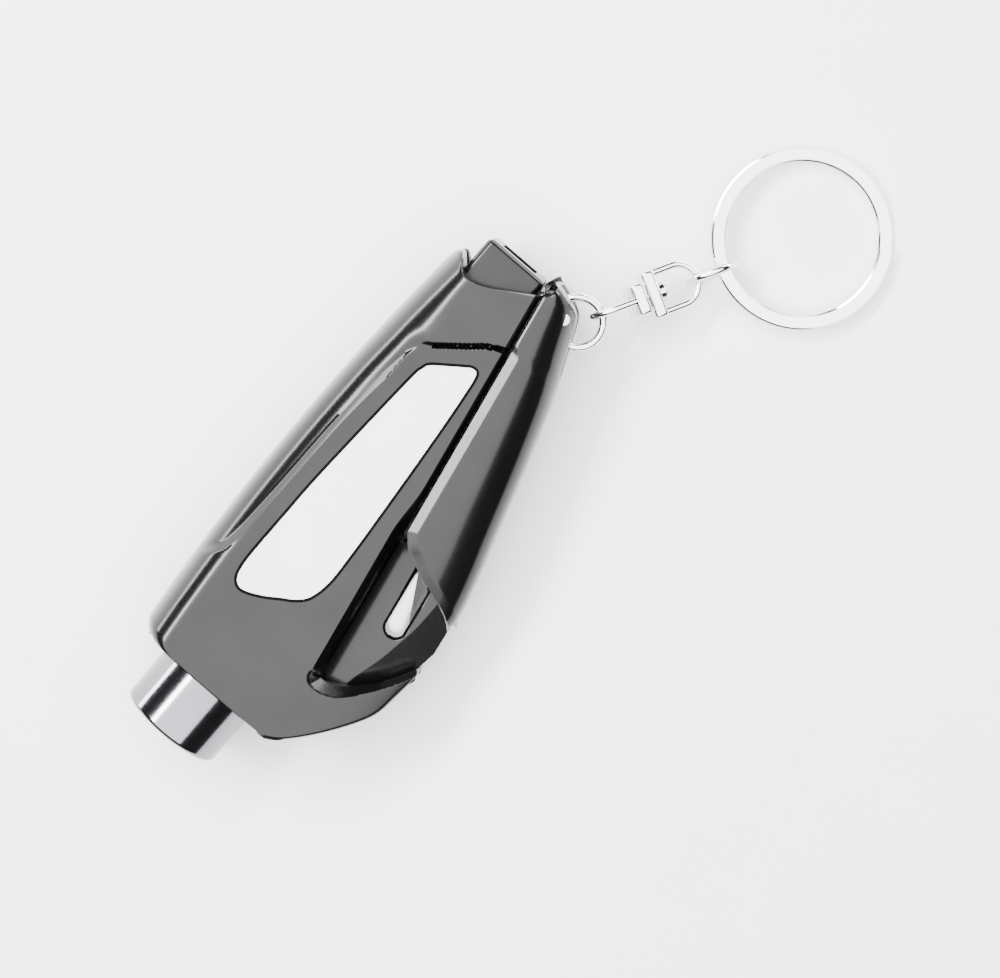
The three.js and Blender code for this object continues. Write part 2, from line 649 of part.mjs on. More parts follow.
/** The blade, ground on both sides towards its cutting edge. */
function blade() {
  const half = BLADE_THICK / 2;
  const profile = new THREE.Shape()
    .moveTo(-half, -BLADE_HEIGHT)
    .lineTo(half, -BLADE_HEIGHT)
    .lineTo(half, -BLADE_GRIND)
    .lineTo(0.04, 0)
    .lineTo(-0.04, 0)
    .lineTo(-half, -BLADE_GRIND);
  const geometry = new THREE.ExtrudeGeometry(profile, { depth: BLADE_LENGTH, bevelEnabled: false });
  geometry.translate(0, 0, -BLADE_LENGTH / 2).rotateY(Math.PI / 2).rotateZ(BLADE_TURN);
  return solid(geometry.translate(BLADE_EDGE_X, BLADE_EDGE_Y, 0));
}

/** A label inlay on the front (1) or back (-1) face. */
function inlay(side) {
  const foot = panelZ + INLAY_PROUD - INLAY_THICK;
  const [low, high] = side > 0 ? [foot, foot + INLAY_THICK] : [-panelZ - BACK_INLAY_PROUD, -foot];
  return plate(inlayOutline(0), low, high, 0.15, 0.15, 1);
}

/** A pan-head screw at a place on the back. */
function screw([x, y]) {
  const body = turned(
    [
      [0, -SCREW_HEAD],
      [SCREW_HEAD_RADIUS * 0.8, -SCREW_HEAD],
      [SCREW_HEAD_RADIUS, -SCREW_HEAD * 0.6],
      [SCREW_HEAD_RADIUS, 0],
      [SCREW_RADIUS, 0],
      [SCREW_RADIUS, SCREW_LENGTH - 1.2],
      [0, SCREW_LENGTH],
    ],
    18,
  );
  const recess = unite(
    block([-0.25, -SCREW_HEAD - 1, -0.9], [0.25, -SCREW_HEAD * 0.45, 0.9]),
    block([-0.9, -SCREW_HEAD - 1, -0.25], [0.9, -SCREW_HEAD * 0.45, 0.25]),
  );
  return body.subtract(recess).rotate([90, 0, 0]).translate([x, y, screwSeat(x, y)]);
}

// ---------------------------------------------------------------- chain

/** A U of round wire in the XY plane: open end at X = from, apex at X = to. */
function bowWire(from, to) {
  const dir = Math.sign(to - from);
  const centre = to - dir * BOW_HALF;
  const start = new THREE.Vector3(from, -dir * BOW_HALF, 0);
  const points = [start, new THREE.Vector3((from + centre) / 2, -dir * BOW_HALF, 0)];
  for (let i = 0; i <= 12; i++) {
    const turn = (i / 12) * Math.PI;
    points.push(
      new THREE.Vector3(centre + dir * BOW_HALF * Math.sin(turn), -dir * BOW_HALF * Math.cos(turn), 0),
    );
  }
  points.push(new THREE.Vector3((from + centre) / 2, dir * BOW_HALF, 0));
  points.push(new THREE.Vector3(from, dir * BOW_HALF, 0));
  return wire(new THREE.CatmullRomCurve3(points), LINK_WIRE, 22, 4);
}

/** A square block of the swivel along the chain, bored for the rivet. */
function swivelBlock(centre, wide, bore) {
  const half = BLOCK_LENGTH / 2;
  const body = block([centre - half, -wide, -BLOCK_SIZE / 2], [centre + half, wide, BLOCK_SIZE / 2]);
  return bore ? body.subtract(alongChain(rod(bore, centre - 2, centre + 2, 18))) : body;
}

/** Turns a solid that lies along Y so that it lies along the chain's X. */
const alongChain = (made) => made.rotate([0, 0, -90]);

/** The swivel's eye, which stands on edge. */
function swivelEye() {
  const flat = unite(
    bowWire(EYE_BLOCK, -LINK_PITCH),
    swivelBlock(EYE_BLOCK, BOW_HALF + LINK_WIRE, RIVET_RADIUS + 0.02),
  );
  return flat.rotate([90, 0, 0]);
}

/** The swivel's bow, which lies flat. */
const swivelBow = () =>
  unite(
    bowWire(BOW_BLOCK - BLOCK_LENGTH / 2, BOW_TOP),
    swivelBlock(BOW_BLOCK, BOW_HALF, RIVET_RADIUS + 0.08),
  );

/** The rivet that the bow turns on. */
function rivet() {
  const foot = EYE_BLOCK - BLOCK_LENGTH / 2;
  const shoulder = BOW_BLOCK + BLOCK_LENGTH / 2 + 0.15;
  const head = [RIVET_HEAD, shoulder + RIVET_HEAD_LENGTH];
  return alongChain(
    turned(
      [[0, foot], [RIVET_RADIUS, foot], [RIVET_RADIUS, shoulder], [RIVET_HEAD, shoulder], head, [0, head[1]]],
      20,
    ),
  );
}

/** The flat split ring: one strip wound twice, with a jog where the turns cross over. */
function keyRing() {
  const pitch = KEY_RING_STRIP + KEY_RING_SEAM;
  const JOG = 0.45; // radians on each side of the crossing
  const STEPS = 72;
  const inner = KEY_RING_RADIUS - KEY_RING_BAND / 2;
  const outer = KEY_RING_RADIUS + KEY_RING_BAND / 2;
  const sections = [];
  for (let i = 0; i <= STEPS; i++) {
    const turn = JOG * 1.1 + (i / STEPS) * (4 * Math.PI - 2.2 * JOG);
    const share = THREE.MathUtils.smoothstep(turn, 2 * Math.PI - JOG, 2 * Math.PI + JOG);
    const z = (share - 0.5) * pitch;
    const half = KEY_RING_STRIP / 2;
    const ring = [[inner, z - half], [outer, z - half], [outer, z + half], [inner, z + half]];
    const around = ([r, h]) => new THREE.Vector3(r * Math.cos(turn), r * Math.sin(turn), h);
    sections.push(ring.map(around).reverse());
  }
  return solid(new LoftGeometry(sections, { capStart: true, capEnd: true }));
}

// ---------------------------------------------------------------- assembly

/** A named mesh from a solid or a geometry. */
function piece(name, made, finishName) {
  const geometry = made.isBufferGeometry ? made : geometryOf(made);
  const mesh = new THREE.Mesh(geometry, FINISHES[finishName]);
  mesh.name = name;
  return mesh;
}

const whole = housing();
const FAR = 200;
const frontHalf = block([-FAR, -FAR, 0.0], [FAR, FAR, FAR]);
const backHalf = block([-FAR, -FAR, -FAR], [FAR, FAR, -0.02]);

const tool = new THREE.Group();
tool.add(
  piece("front_shell", whole.intersect(frontHalf), "gunmetal"),
  piece("back_shell", whole.intersect(backHalf), "gunmetal"),
  piece("front_inlay", inlay(1), "inlay"),
  piece("back_inlay", inlay(-1), "inlay"),
  piece("tail_plug", tailPlug(), "plug"),
  piece("nose_sleeve", noseSleeve(), "blackChrome"),
  piece("spike", spike(), "steel"),
  piece(
    "return_spring",
    coil(RETURN_SPRING_RADIUS, RETURN_WIRE, RETURN_COILS, NOSE_FRONT + 0.2, SPIKE_FLANGE_Y - 0.2),
    "spring",
  ),
  piece("hammer", hammer(), "steel"),
  piece(
    "main_spring",
    coil(MAIN_SPRING_RADIUS, MAIN_WIRE, MAIN_COILS, hammerEnd + 0.2, linerEnd - 0.05),
    "spring",
  ),
  piece("barrel_liner", liner(), "steel"),
  piece("spring_seat", springSeat(), "brass"),
  piece("blade", blade(), "steel"),
  piece("blade_guard", guard(), "gunmetal"),
);
SCREWS.forEach((place, i) => tool.add(piece(`screw_${i + 1}`, screw(place), "steel")));

// the cross pin and the first jump ring, which lies flat in the guard's slot
const pin = new THREE.CylinderGeometry(PIN_RADIUS, PIN_RADIUS, 2 * GUARD_HALF - 3.4, 16).rotateX(Math.PI / 2);
tool.add(piece("ring_pin", pin.translate(PIN_X, PIN_Y, 0), "steel"));
const ringCentre = new THREE.Vector2(RING_A_OFFSET, 0)
  .rotateAround(new THREE.Vector2(), RING_A_TURN)
  .add(new THREE.Vector2(PIN_X, PIN_Y));
const ringA = hoop(RING_RADIUS, RING_WIRE).translate(ringCentre.x, ringCentre.y, 0);
tool.add(piece("jump_ring_tool", ringA, "chrome"));

// the chain starts at the first ring's wire, heads for the key ring and slopes to the table
const chain = new THREE.Group();
const heading = new THREE.Vector2(Math.cos(CHAIN_HEADING), Math.sin(CHAIN_HEADING));
chain.position.set(ringCentre.x + RING_RADIUS * heading.x, ringCentre.y + RING_RADIUS * heading.y, 0);
chain.rotation.set(0, CHAIN_PITCH, CHAIN_HEADING, "ZYX");
const ringBCentre = BOW_TOP - LINK_PITCH + RING_RADIUS;
const farWire = ringBCentre + RING_RADIUS;
const ringB = hoop(RING_RADIUS, RING_WIRE).rotateX(Math.PI / 2).translate(ringBCentre, 0, 0);
chain.add(
  piece("swivel_eye", swivelEye(), "chrome"),
  piece("swivel_rivet", rivet(), "chrome"),
  piece("swivel_bow", swivelBow(), "chrome"),
  piece("jump_ring_key", ringB, "chrome"),
);
const key = new THREE.Group();
key.position.set(farWire - KEY_RING_SET, 0, 0);
key.rotation.set(0, KEY_RING_PITCH - CHAIN_PITCH, 0);
const keyMesh = piece("key_ring", keyRing(), "chrome");
keyMesh.position.set(KEY_RING_RADIUS, 0, 0);
key.add(keyMesh);
chain.add(key);
tool.add(chain);

tool.position.set(0, -ORIGIN_STATION, HALF_THICK);
const part = new THREE.Group();
part.add(tool);

export default part;
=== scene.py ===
"""Looks for a keychain car escape tool: lacquered housing, chromed punch nose, belt-cutter guard and swivel key ring.

Shapes are drawn in the tool's own millimetres, as the CAD is: X across the tool towards the belt cutter, Y along the
punch axis from the nose face, Z from the parting plane. Datum moves them onto the frame.
"""

import json
import logging
import math
from dataclasses import dataclass, field
from enum import Enum
from functools import cache
from typing import Callable, Iterable, Sequence

import bmesh
import bpy
from bmesh.types import BMEdge, BMesh, BMFace, BMVert
from bpy.types import Material, Node, NodeSocket, NodeTree, Object
from mathutils import Matrix, Vector

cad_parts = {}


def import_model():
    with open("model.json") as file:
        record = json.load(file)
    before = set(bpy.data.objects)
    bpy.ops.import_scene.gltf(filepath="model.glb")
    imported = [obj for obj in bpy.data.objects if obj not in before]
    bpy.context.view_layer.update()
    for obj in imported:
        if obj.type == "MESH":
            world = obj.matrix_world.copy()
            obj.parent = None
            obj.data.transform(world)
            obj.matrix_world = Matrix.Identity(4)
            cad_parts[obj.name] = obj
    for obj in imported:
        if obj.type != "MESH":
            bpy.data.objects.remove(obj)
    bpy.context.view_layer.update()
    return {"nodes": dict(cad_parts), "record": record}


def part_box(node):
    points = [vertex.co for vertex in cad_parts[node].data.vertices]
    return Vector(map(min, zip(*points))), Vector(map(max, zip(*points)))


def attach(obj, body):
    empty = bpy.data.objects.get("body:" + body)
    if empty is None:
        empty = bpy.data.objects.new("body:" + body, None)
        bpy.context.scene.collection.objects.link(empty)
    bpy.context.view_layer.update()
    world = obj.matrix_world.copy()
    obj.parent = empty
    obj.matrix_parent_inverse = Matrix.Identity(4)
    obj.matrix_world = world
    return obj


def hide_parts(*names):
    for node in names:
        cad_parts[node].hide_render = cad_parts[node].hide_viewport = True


LOG = logging.getLogger("escape_tool")
MM = 0.001
# Spread of a finish's roughness, the size of its tint's clouds, the height of its relief and its clear coat's blur.
GLOSS_SPREAD, TINT_MM, RELIEF_MM, COAT_ROUGHNESS = 0.12, 9.0, 0.02, 0.06
# Lowest Z of a sheet above the parting plane, the gap that is welded shut, and a distance beyond any edge's reach.
LOWEST, WELD, FAR = 0.02, 0.002, 9.0
# How near a well's rim, inside and outside, a vertex is drawn onto it, and the Z below which the throat is open.
RIM_INSIDE, RIM_OUTSIDE, OPEN_BELOW = 0.14, 0.16, 0.03
Point = tuple[float, float]
Span = tuple[float, float]
Curve = Sequence[Point]


# ------------------------------------------------------------------ curves and heights


def smooth(value: float, low: float, high: float) -> float:
    """Return 0 below low, 1 above high and a smooth rise between them."""
    share = min(1.0, max(0.0, (value - low) / (high - low)))
    return share * share * (3.0 - 2.0 * share)


def ramp(value: float, low: float, high: float) -> float:
    """Return 0 below low, 1 above high and a straight rise between them."""
    return min(1.0, max(0.0, (value - low) / (high - low)))


def round_over(radius: float, inward: float) -> float:
    """Return how far a rounded edge has dropped at a distance inward of it."""
    return radius - math.sqrt(max(0.0, radius**2 - (radius - inward) ** 2)) if inward < radius else 0.0


def spline(points: Curve, steps: int = 12) -> list[Point]:
    """Run a smooth curve through points.

    Args:
        points: The points that the curve passes through.
        steps: How many short lines stand for each span.

    Returns:
        The curve as closely spaced points.
    """
    padded = [points[0], *points, points[-1]]
    curve: list[Point] = []
    for before, start, end, after in zip(padded, padded[1:], padded[2:], padded[3:]):
        for step in range(steps):
            t = step / steps
            spot = []
            for a, b, c, d in zip(before, start, end, after):
                bend = 2 * a - 5 * b + 4 * c - d
                spot.append(0.5 * (2 * b + (c - a) * t + bend * t * t + (3 * b - a - 3 * c + d) * t**3))
            curve.append((spot[0], spot[1]))
    curve.append(points[-1])
    return curve


def along(curve: Curve, share: float) -> Point:
    """Find a point at a share of a curve's length.

    Args:
        curve: The curve's points.
        share: How far along it, from 0 to 1.

    Returns:
        The point.
    """
    lengths = [math.dist(a, b) for a, b in zip(curve, curve[1:])]
    left = share * sum(lengths)
    for (a, b), length in zip(zip(curve, curve[1:]), lengths):
        if left <= length:
            t = left / length if length else 0.0
            return (a[0] + (b[0] - a[0]) * t, a[1] + (b[1] - a[1]) * t)
        left -= length
    return curve[-1]


def at_height(curve: Curve, y: float) -> float:
    """Return the X at which a curve that rises in Y passes a station."""
    for a, b in zip(curve, curve[1:]):
        if min(a[1], b[1]) <= y <= max(a[1], b[1]) and a[1] != b[1]:
            return a[0] + (b[0] - a[0]) * (y - a[1]) / (b[1] - a[1])
    return curve[0][0] if abs(y - curve[0][1]) < abs(y - curve[-1][1]) else curve[-1][0]


def at_x(curve: Curve, x: float) -> float:
    """Return the Y at which a curve that runs in X passes an X."""
    for a, b in zip(curve, curve[1:]):
        if a[0] <= x <= b[0] and a[0] != b[0]:
            return a[1] + (b[1] - a[1]) * (x - a[0]) / (b[0] - a[0])
    return curve[0][1] if x < curve[0][0] else curve[-1][1]


def inside(outline: Curve, x: float, y: float) -> bool:
    """Say whether a spot lies inside a closed outline."""
    within = False
    for (ax, ay), (bx, by) in zip(outline, [*outline[1:], outline[0]]):
        if (ay > y) != (by > y) and x < ax + (bx - ax) * (y - ay) / (by - ay):
            within = not within
    return within


def off_curve(curve: Curve, x: float, y: float) -> float:
    """Measure how far a spot lies to the right of a curve.

    Args:
        curve: The curve's points, in its direction of travel.
        x: The spot's X.
        y: The spot's Y.

    Returns:
        The distance, positive on the right of the direction of travel.
    """
    best, side = 1e9, 1.0
    for (ax, ay), (bx, by) in zip(curve, curve[1:]):
        dx, dy = bx - ax, by - ay
        size = dx * dx + dy * dy
        if size == 0.0:
            continue
        t = min(1.0, max(0.0, ((x - ax) * dx + (y - ay) * dy) / size))
        gap = math.hypot(x - ax - dx * t, y - ay - dy * t)
        if gap < best - 1e-9:
            best = gap
            side = 1.0 if (x - ax) * dy - (y - ay) * dx >= 0.0 else -1.0
    return best * side


# ------------------------------------------------------------------ placing and joining


@dataclass(frozen=True)
class Datum:
    """Where the tool's drawing lies in the frame."""

    station: float
    parting: float

    @classmethod
    def from_frame(cls) -> "Datum":
        """Read the datum from the nose and from the seam between the two shells."""
        nose_low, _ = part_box("nose_sleeve")
        seam_low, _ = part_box("front_shell")
        return cls(station=nose_low[1] / MM, parting=seam_low[2] / MM)

    def corners(self, node: str) -> tuple[list[float], list[float]]:
        """Return a CAD node's low and high corners in drawn millimetres."""
        shift = (0.0, self.station, self.parting)
        low, high = ([place / MM - by for place, by in zip(corner, shift)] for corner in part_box(node))
        return low, high

    def place(self) -> Matrix:
        """Return the matrix from drawn millimetres to the frame's metres."""
        return Matrix.Scale(MM, 4) @ Matrix.Translation((0.0, self.station, self.parting))


@dataclass
class Piece:
    """One finished piece: what it rides on, what it stands for and how its edges are finished."""

    name: str
    body: str
    slot: str
    replaces: tuple[str, ...] = ()
    edge: float = 0.0
    edge_steps: int = 2
    wall: float = 0.0
    smooth_angle: float = 32.0

    def build(self, bm: BMesh, place: Matrix, material: Material) -> Object:
        """Turn a bmesh in drawn millimetres into a finished object.

        Args:
            bm: The shape, which is freed afterwards.
            place: Takes the drawing into the frame.
            material: The piece's finish.

        Returns:
            The new object, at the origin.
        """
        bmesh.ops.remove_doubles(bm, verts=bm.verts, dist=WELD)
        bmesh.ops.recalc_face_normals(bm, faces=bm.faces)
        bmesh.ops.transform(bm, matrix=place, verts=bm.verts)
        mesh = bpy.data.meshes.new(self.name)
        bm.to_mesh(mesh)
        bm.free()
        for polygon in mesh.polygons:
            polygon.use_smooth = True
        mesh.set_sharp_from_angle(angle=math.radians(self.smooth_angle))
        mesh.materials.append(material)
        made = bpy.data.objects.new(self.name, mesh)
        bpy.context.scene.collection.objects.link(made)
        if self.wall:
            skin = made.modifiers.new("wall", "SOLIDIFY")
            skin.thickness = self.wall * MM
            skin.offset = -1.0
        if self.edge:
            soft = made.modifiers.new("edge", "BEVEL")
            soft.width = self.edge * MM
            soft.segments = self.edge_steps
            soft.limit_method = "ANGLE"
            soft.angle_limit = math.radians(40.0)
            soft.harden_normals = True
        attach(made, self.body)
        if self.replaces:
            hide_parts(*self.replaces)
        LOG.info("%s: %d faces", self.name, len(mesh.polygons))
        return made


# ------------------------------------------------------------------ finishes


def linear(code: str) -> tuple[float, float, float, float]:
    """Turn an sRGB hex code such as #C8C8C8 into a linear RGBA colour."""
    channels = [int(code[i : i + 2], 16) / 255.0 for i in (1, 3, 5)]
    curve = [c / 12.92 if c <= 0.04045 else ((c + 0.055) / 1.055) ** 2.4 for c in channels]
    return (curve[0], curve[1], curve[2], 1.0)


def add_node(tree: NodeTree, kind: str, links: dict | None = None, **settings: object) -> Node:
    """Add a shader node.

    Args:
        tree: The material's node tree.
        kind: The node's type name.
        links: Input name or number to a value, or to an output socket to link.
        settings: Attributes of the node itself.

    Returns:
        The new node.
    """
    node = tree.nodes.new(kind)
    for key, value in settings.items():
        setattr(node, key, value)
    for key, value in (links or {}).items():
        if isinstance(value, NodeSocket):
            tree.links.new(value, node.inputs[key])
        else:
            node.inputs[key].default_value = value
    return node


class Grain(Enum):
    """How a surface was made, which decides its fine relief."""

    MOULDED = "moulded"
    DRAWN = "drawn"
    POLISHED = "polished"
    GROUND = "ground"


@dataclass(frozen=True)
class Finish:
    """One real material and how its surface was made."""

    name: str
    colour: str
    worn: str
    roughness: float
    metallic: float
    grain: Grain
    grain_mm: float
    relief: float
    coat: float = 0.0
    ior: float = 1.5

    @cache
    def material(self) -> Material:
        """Build the node material, once for each finish.

        Returns:
            The material, with mottled colour and roughness and a fine relief on Object coordinates.
        """
        made = bpy.data.materials.new(self.name)
        made.use_nodes = True
        tree = made.node_tree
        tree.nodes.clear()
        place = add_node(tree, "ShaderNodeTexCoord").outputs["Object"]
        stretch = (1.0, 1.0, 1.0)
        if self.grain in (Grain.DRAWN, Grain.GROUND):
            stretch = (1.0, 0.06, 1.0)
        laid = add_node(tree, "ShaderNodeMapping", {"Vector": place, "Scale": stretch}).outputs["Vector"]
        fine = add_node(
            tree,
            "ShaderNodeTexNoise",
            {"Vector": laid, "Scale": 1.0 / (self.grain_mm * MM), "Detail": 3.0, "Roughness": 0.55},
        ).outputs["Fac"]
        broad = add_node(
            tree, "ShaderNodeTexNoise", {"Vector": place, "Scale": 1.0 / (TINT_MM * MM), "Detail": 2.0}
        ).outputs["Fac"]
        tint = add_node(tree, "ShaderNodeValToRGB", {"Fac": broad})
        tint.color_ramp.elements[0].position = 0.3
        tint.color_ramp.elements[0].color = linear(self.colour)
        tint.color_ramp.elements[1].position = 0.75
        tint.color_ramp.elements[1].color = linear(self.worn)
        gloss = add_node(
            tree,
            "ShaderNodeMapRange",
            {
                "Value": fine,
                "From Min": 0.25,
                "From Max": 0.75,
                "To Min": self.roughness * (1.0 - GLOSS_SPREAD),
                "To Max": self.roughness * (1.0 + GLOSS_SPREAD),
            },
        ).outputs["Result"]
        relief = add_node(
            tree, "ShaderNodeBump", {"Height": fine, "Strength": self.relief, "Distance": RELIEF_MM * MM}
        ).outputs["Normal"]
        shader = add_node(
            tree,
            "ShaderNodeBsdfPrincipled",
            {"Base Color": tint.outputs["Color"], "Roughness": gloss, "Normal": relief, "Metallic": self.metallic},
        )
        if self.metallic < 0.5:
            shader.inputs["IOR"].default_value = self.ior
        shader.inputs["Coat Weight"].default_value = self.coat
        shader.inputs["Coat Roughness"].default_value = COAT_ROUGHNESS
        add_node(tree, "ShaderNodeOutputMaterial", {"Surface": shader.outputs["BSDF"]})
        return made


# Painted ABS: a dark metallic lacquer under a thin clear coat, so it mirrors the lights softly and shows no grain.
LACQUERED_ABS = Finish(
    "metallic_lacquered_abs", "#272728", "#2B2B2C", 0.22, 0.9, Grain.MOULDED, 0.35, 0.003, coat=0.15
)
# The plug is the same lacquer painted a shade darker, as painted shade for the shadow it sits in behind the shell's
# edge.
SHADED_ABS = Finish("shade_darkened_lacquered_abs", "#232324", "#272728", 0.25, 0.9, Grain.MOULDED, 0.35, 0.003, coat=0.15)
# Epoxy dome: clear resin over a white card reads as a bright, wet-looking white.
EPOXY_LABEL = Finish("white_epoxy_dome_label", "#F4F4F4", "#FAFAFA", 0.10, 0.0, Grain.POLISHED, 2.0, 0.02, coat=0.6)
# Painted shadow: a near-black sheet with almost no sheen, laid in the gap round the label to stand in for the gap's
# shade, so it shows as a dark line.
GAP_SHADOW_SHEET = Finish("painted_gap_shadow", "#0B0B0B", "#101010", 0.8, 0.0, Grain.MOULDED, 0.3, 0.2, ior=1.04)
# Black chrome plating: a dark mirror, so it takes hard-edged bands from the lights.
BLACK_CHROME = Finish("black_chrome_plated_brass", "#77787C", "#7E7F83", 0.13, 1.0, Grain.POLISHED, 0.6, 0.02)
# Nickel-chrome plating on wire: nearly white, with dark edges where it mirrors the room.
BRIGHT_CHROME = Finish("bright_chrome_plated_steel", "#E6E7E8", "#EEEFF0", 0.09, 1.0, Grain.POLISHED, 0.5, 0.02)
# Hardened tool steel: ground, so its lines run one way.
GROUND_STEEL = Finish("ground_tool_steel", "#C3C5C8", "#CED0D2", 0.26, 1.0, Grain.GROUND, 0.12, 0.15)
# Music wire: drawn, a darker grey than the rings.
SPRING_STEEL = Finish("drawn_spring_steel", "#93959A", "#A0A2A6", 0.3, 1.0, Grain.DRAWN, 0.15, 0.1)
# Turned brass: warm yellow with a soft lathe sheen.
TURNED_BRASS = Finish("turned_brass", "#B99650", "#C4A35E", 0.3, 1.0, Grain.GROUND, 0.2, 0.1)


# ------------------------------------------------------------------ sheet-like shells


Height = Callable[[float, float], float]


def patch(bm: BMesh, columns: int, rows: int, place: Callable[[float, float], Point], height: Height) -> list:
    """Lay a grid over a plan and raise it to a height.

    Args:
        bm: The bmesh that receives the grid.
        columns: How many faces across.
        rows: How many faces along.
        place: Turns the two shares, across and along, into a spot on the plan.
        height: Z at a spot.

    Returns:
        The grid's vertices.
    """
    made = bmesh.ops.create_grid(bm, x_segments=columns, y_segments=rows, size=0.5)
    for vert in made["verts"]:
        x, y = place(vert.co.x + 0.5, vert.co.y + 0.5)
        vert.co = (x, y, height(x, y))
    return made["verts"]


def verts_of(made: dict) -> list[BMVert]:
    """Return the vertices among what a bmesh operator made."""
    return [item for item in made["geom"] if isinstance(item, BMVert)]


def skirt(bm: BMesh, floor: Height) -> None:
    """Drop walls from a sheet's open edge.

    Args:
        bm: The sheet.
        floor: Z of the wall's foot at a spot.
    """
    rim = [edge for edge in bm.edges if edge.is_boundary]
    for vert in verts_of(bmesh.ops.extrude_edge_only(bm, edges=rim)):
        vert.co.z = floor(vert.co.x, vert.co.y)


def plate(
    bm: BMesh, outline: Curve, low: float, high: float, holes: Iterable[Curve] = ()
) -> None:
    """Add a flat plate, with holes through it.

    Args:
        bm: The bmesh that receives the plate.
        outline: The plate's outline.
        low: Its lower Z.
        high: Its upper Z.
        holes: Outlines of the holes.
    """
    edges = []
    for loop in (outline, *holes):
        verts = [bm.verts.new((x, y, low)) for x, y in loop]
        edges += [bm.edges.new((a, b)) for a, b in zip(verts, [*verts[1:], verts[0]])]
    filled = bmesh.ops.triangle_fill(bm, edges=edges, use_beauty=True)
    faces = [item for item in filled["geom"] if isinstance(item, BMFace)]
    raised = bmesh.ops.extrude_face_region(bm, geom=faces, use_keep_orig=True)
    bmesh.ops.translate(bm, verts=verts_of(raised), vec=(0.0, 0.0, high - low))


def arc(centre: Point, radius: float, start: float, end: float, steps: int = 16) -> list[Point]:
    """Return points on an arc, with angles in degrees."""
    turns = [math.radians(start + (end - start) * i / steps) for i in range(steps + 1)]
    return [(centre[0] + radius * math.cos(t), centre[1] + radius * math.sin(t)) for t in turns]


def grown(outline: Curve, by: float) -> list[Point]:
    """Offset a closed outline outwards, for an outline that runs anticlockwise."""
    area = sum(a[0] * b[1] - b[0] * a[1] for a, b in zip(outline, [*outline[1:], outline[0]]))
    sign = by if area > 0 else -by
    moved = []
    for before, spot, after in zip([outline[-1], *outline[:-1]], outline, [*outline[1:], outline[0]]):
        dx, dy = after[0] - before[0], after[1] - before[1]
        size = math.hypot(dx, dy) or 1.0
        moved.append((spot[0] + sign * dy / size, spot[1] - sign * dx / size))
    return moved


def drawn(points: Curve, steps: int = 8, closed: bool = False) -> list[Point]:
    """Give a dataclass a curve, whose last point is left out where it repeats the first."""
    return field(default_factory=lambda: spline(points, steps)[: -1 if closed else None])


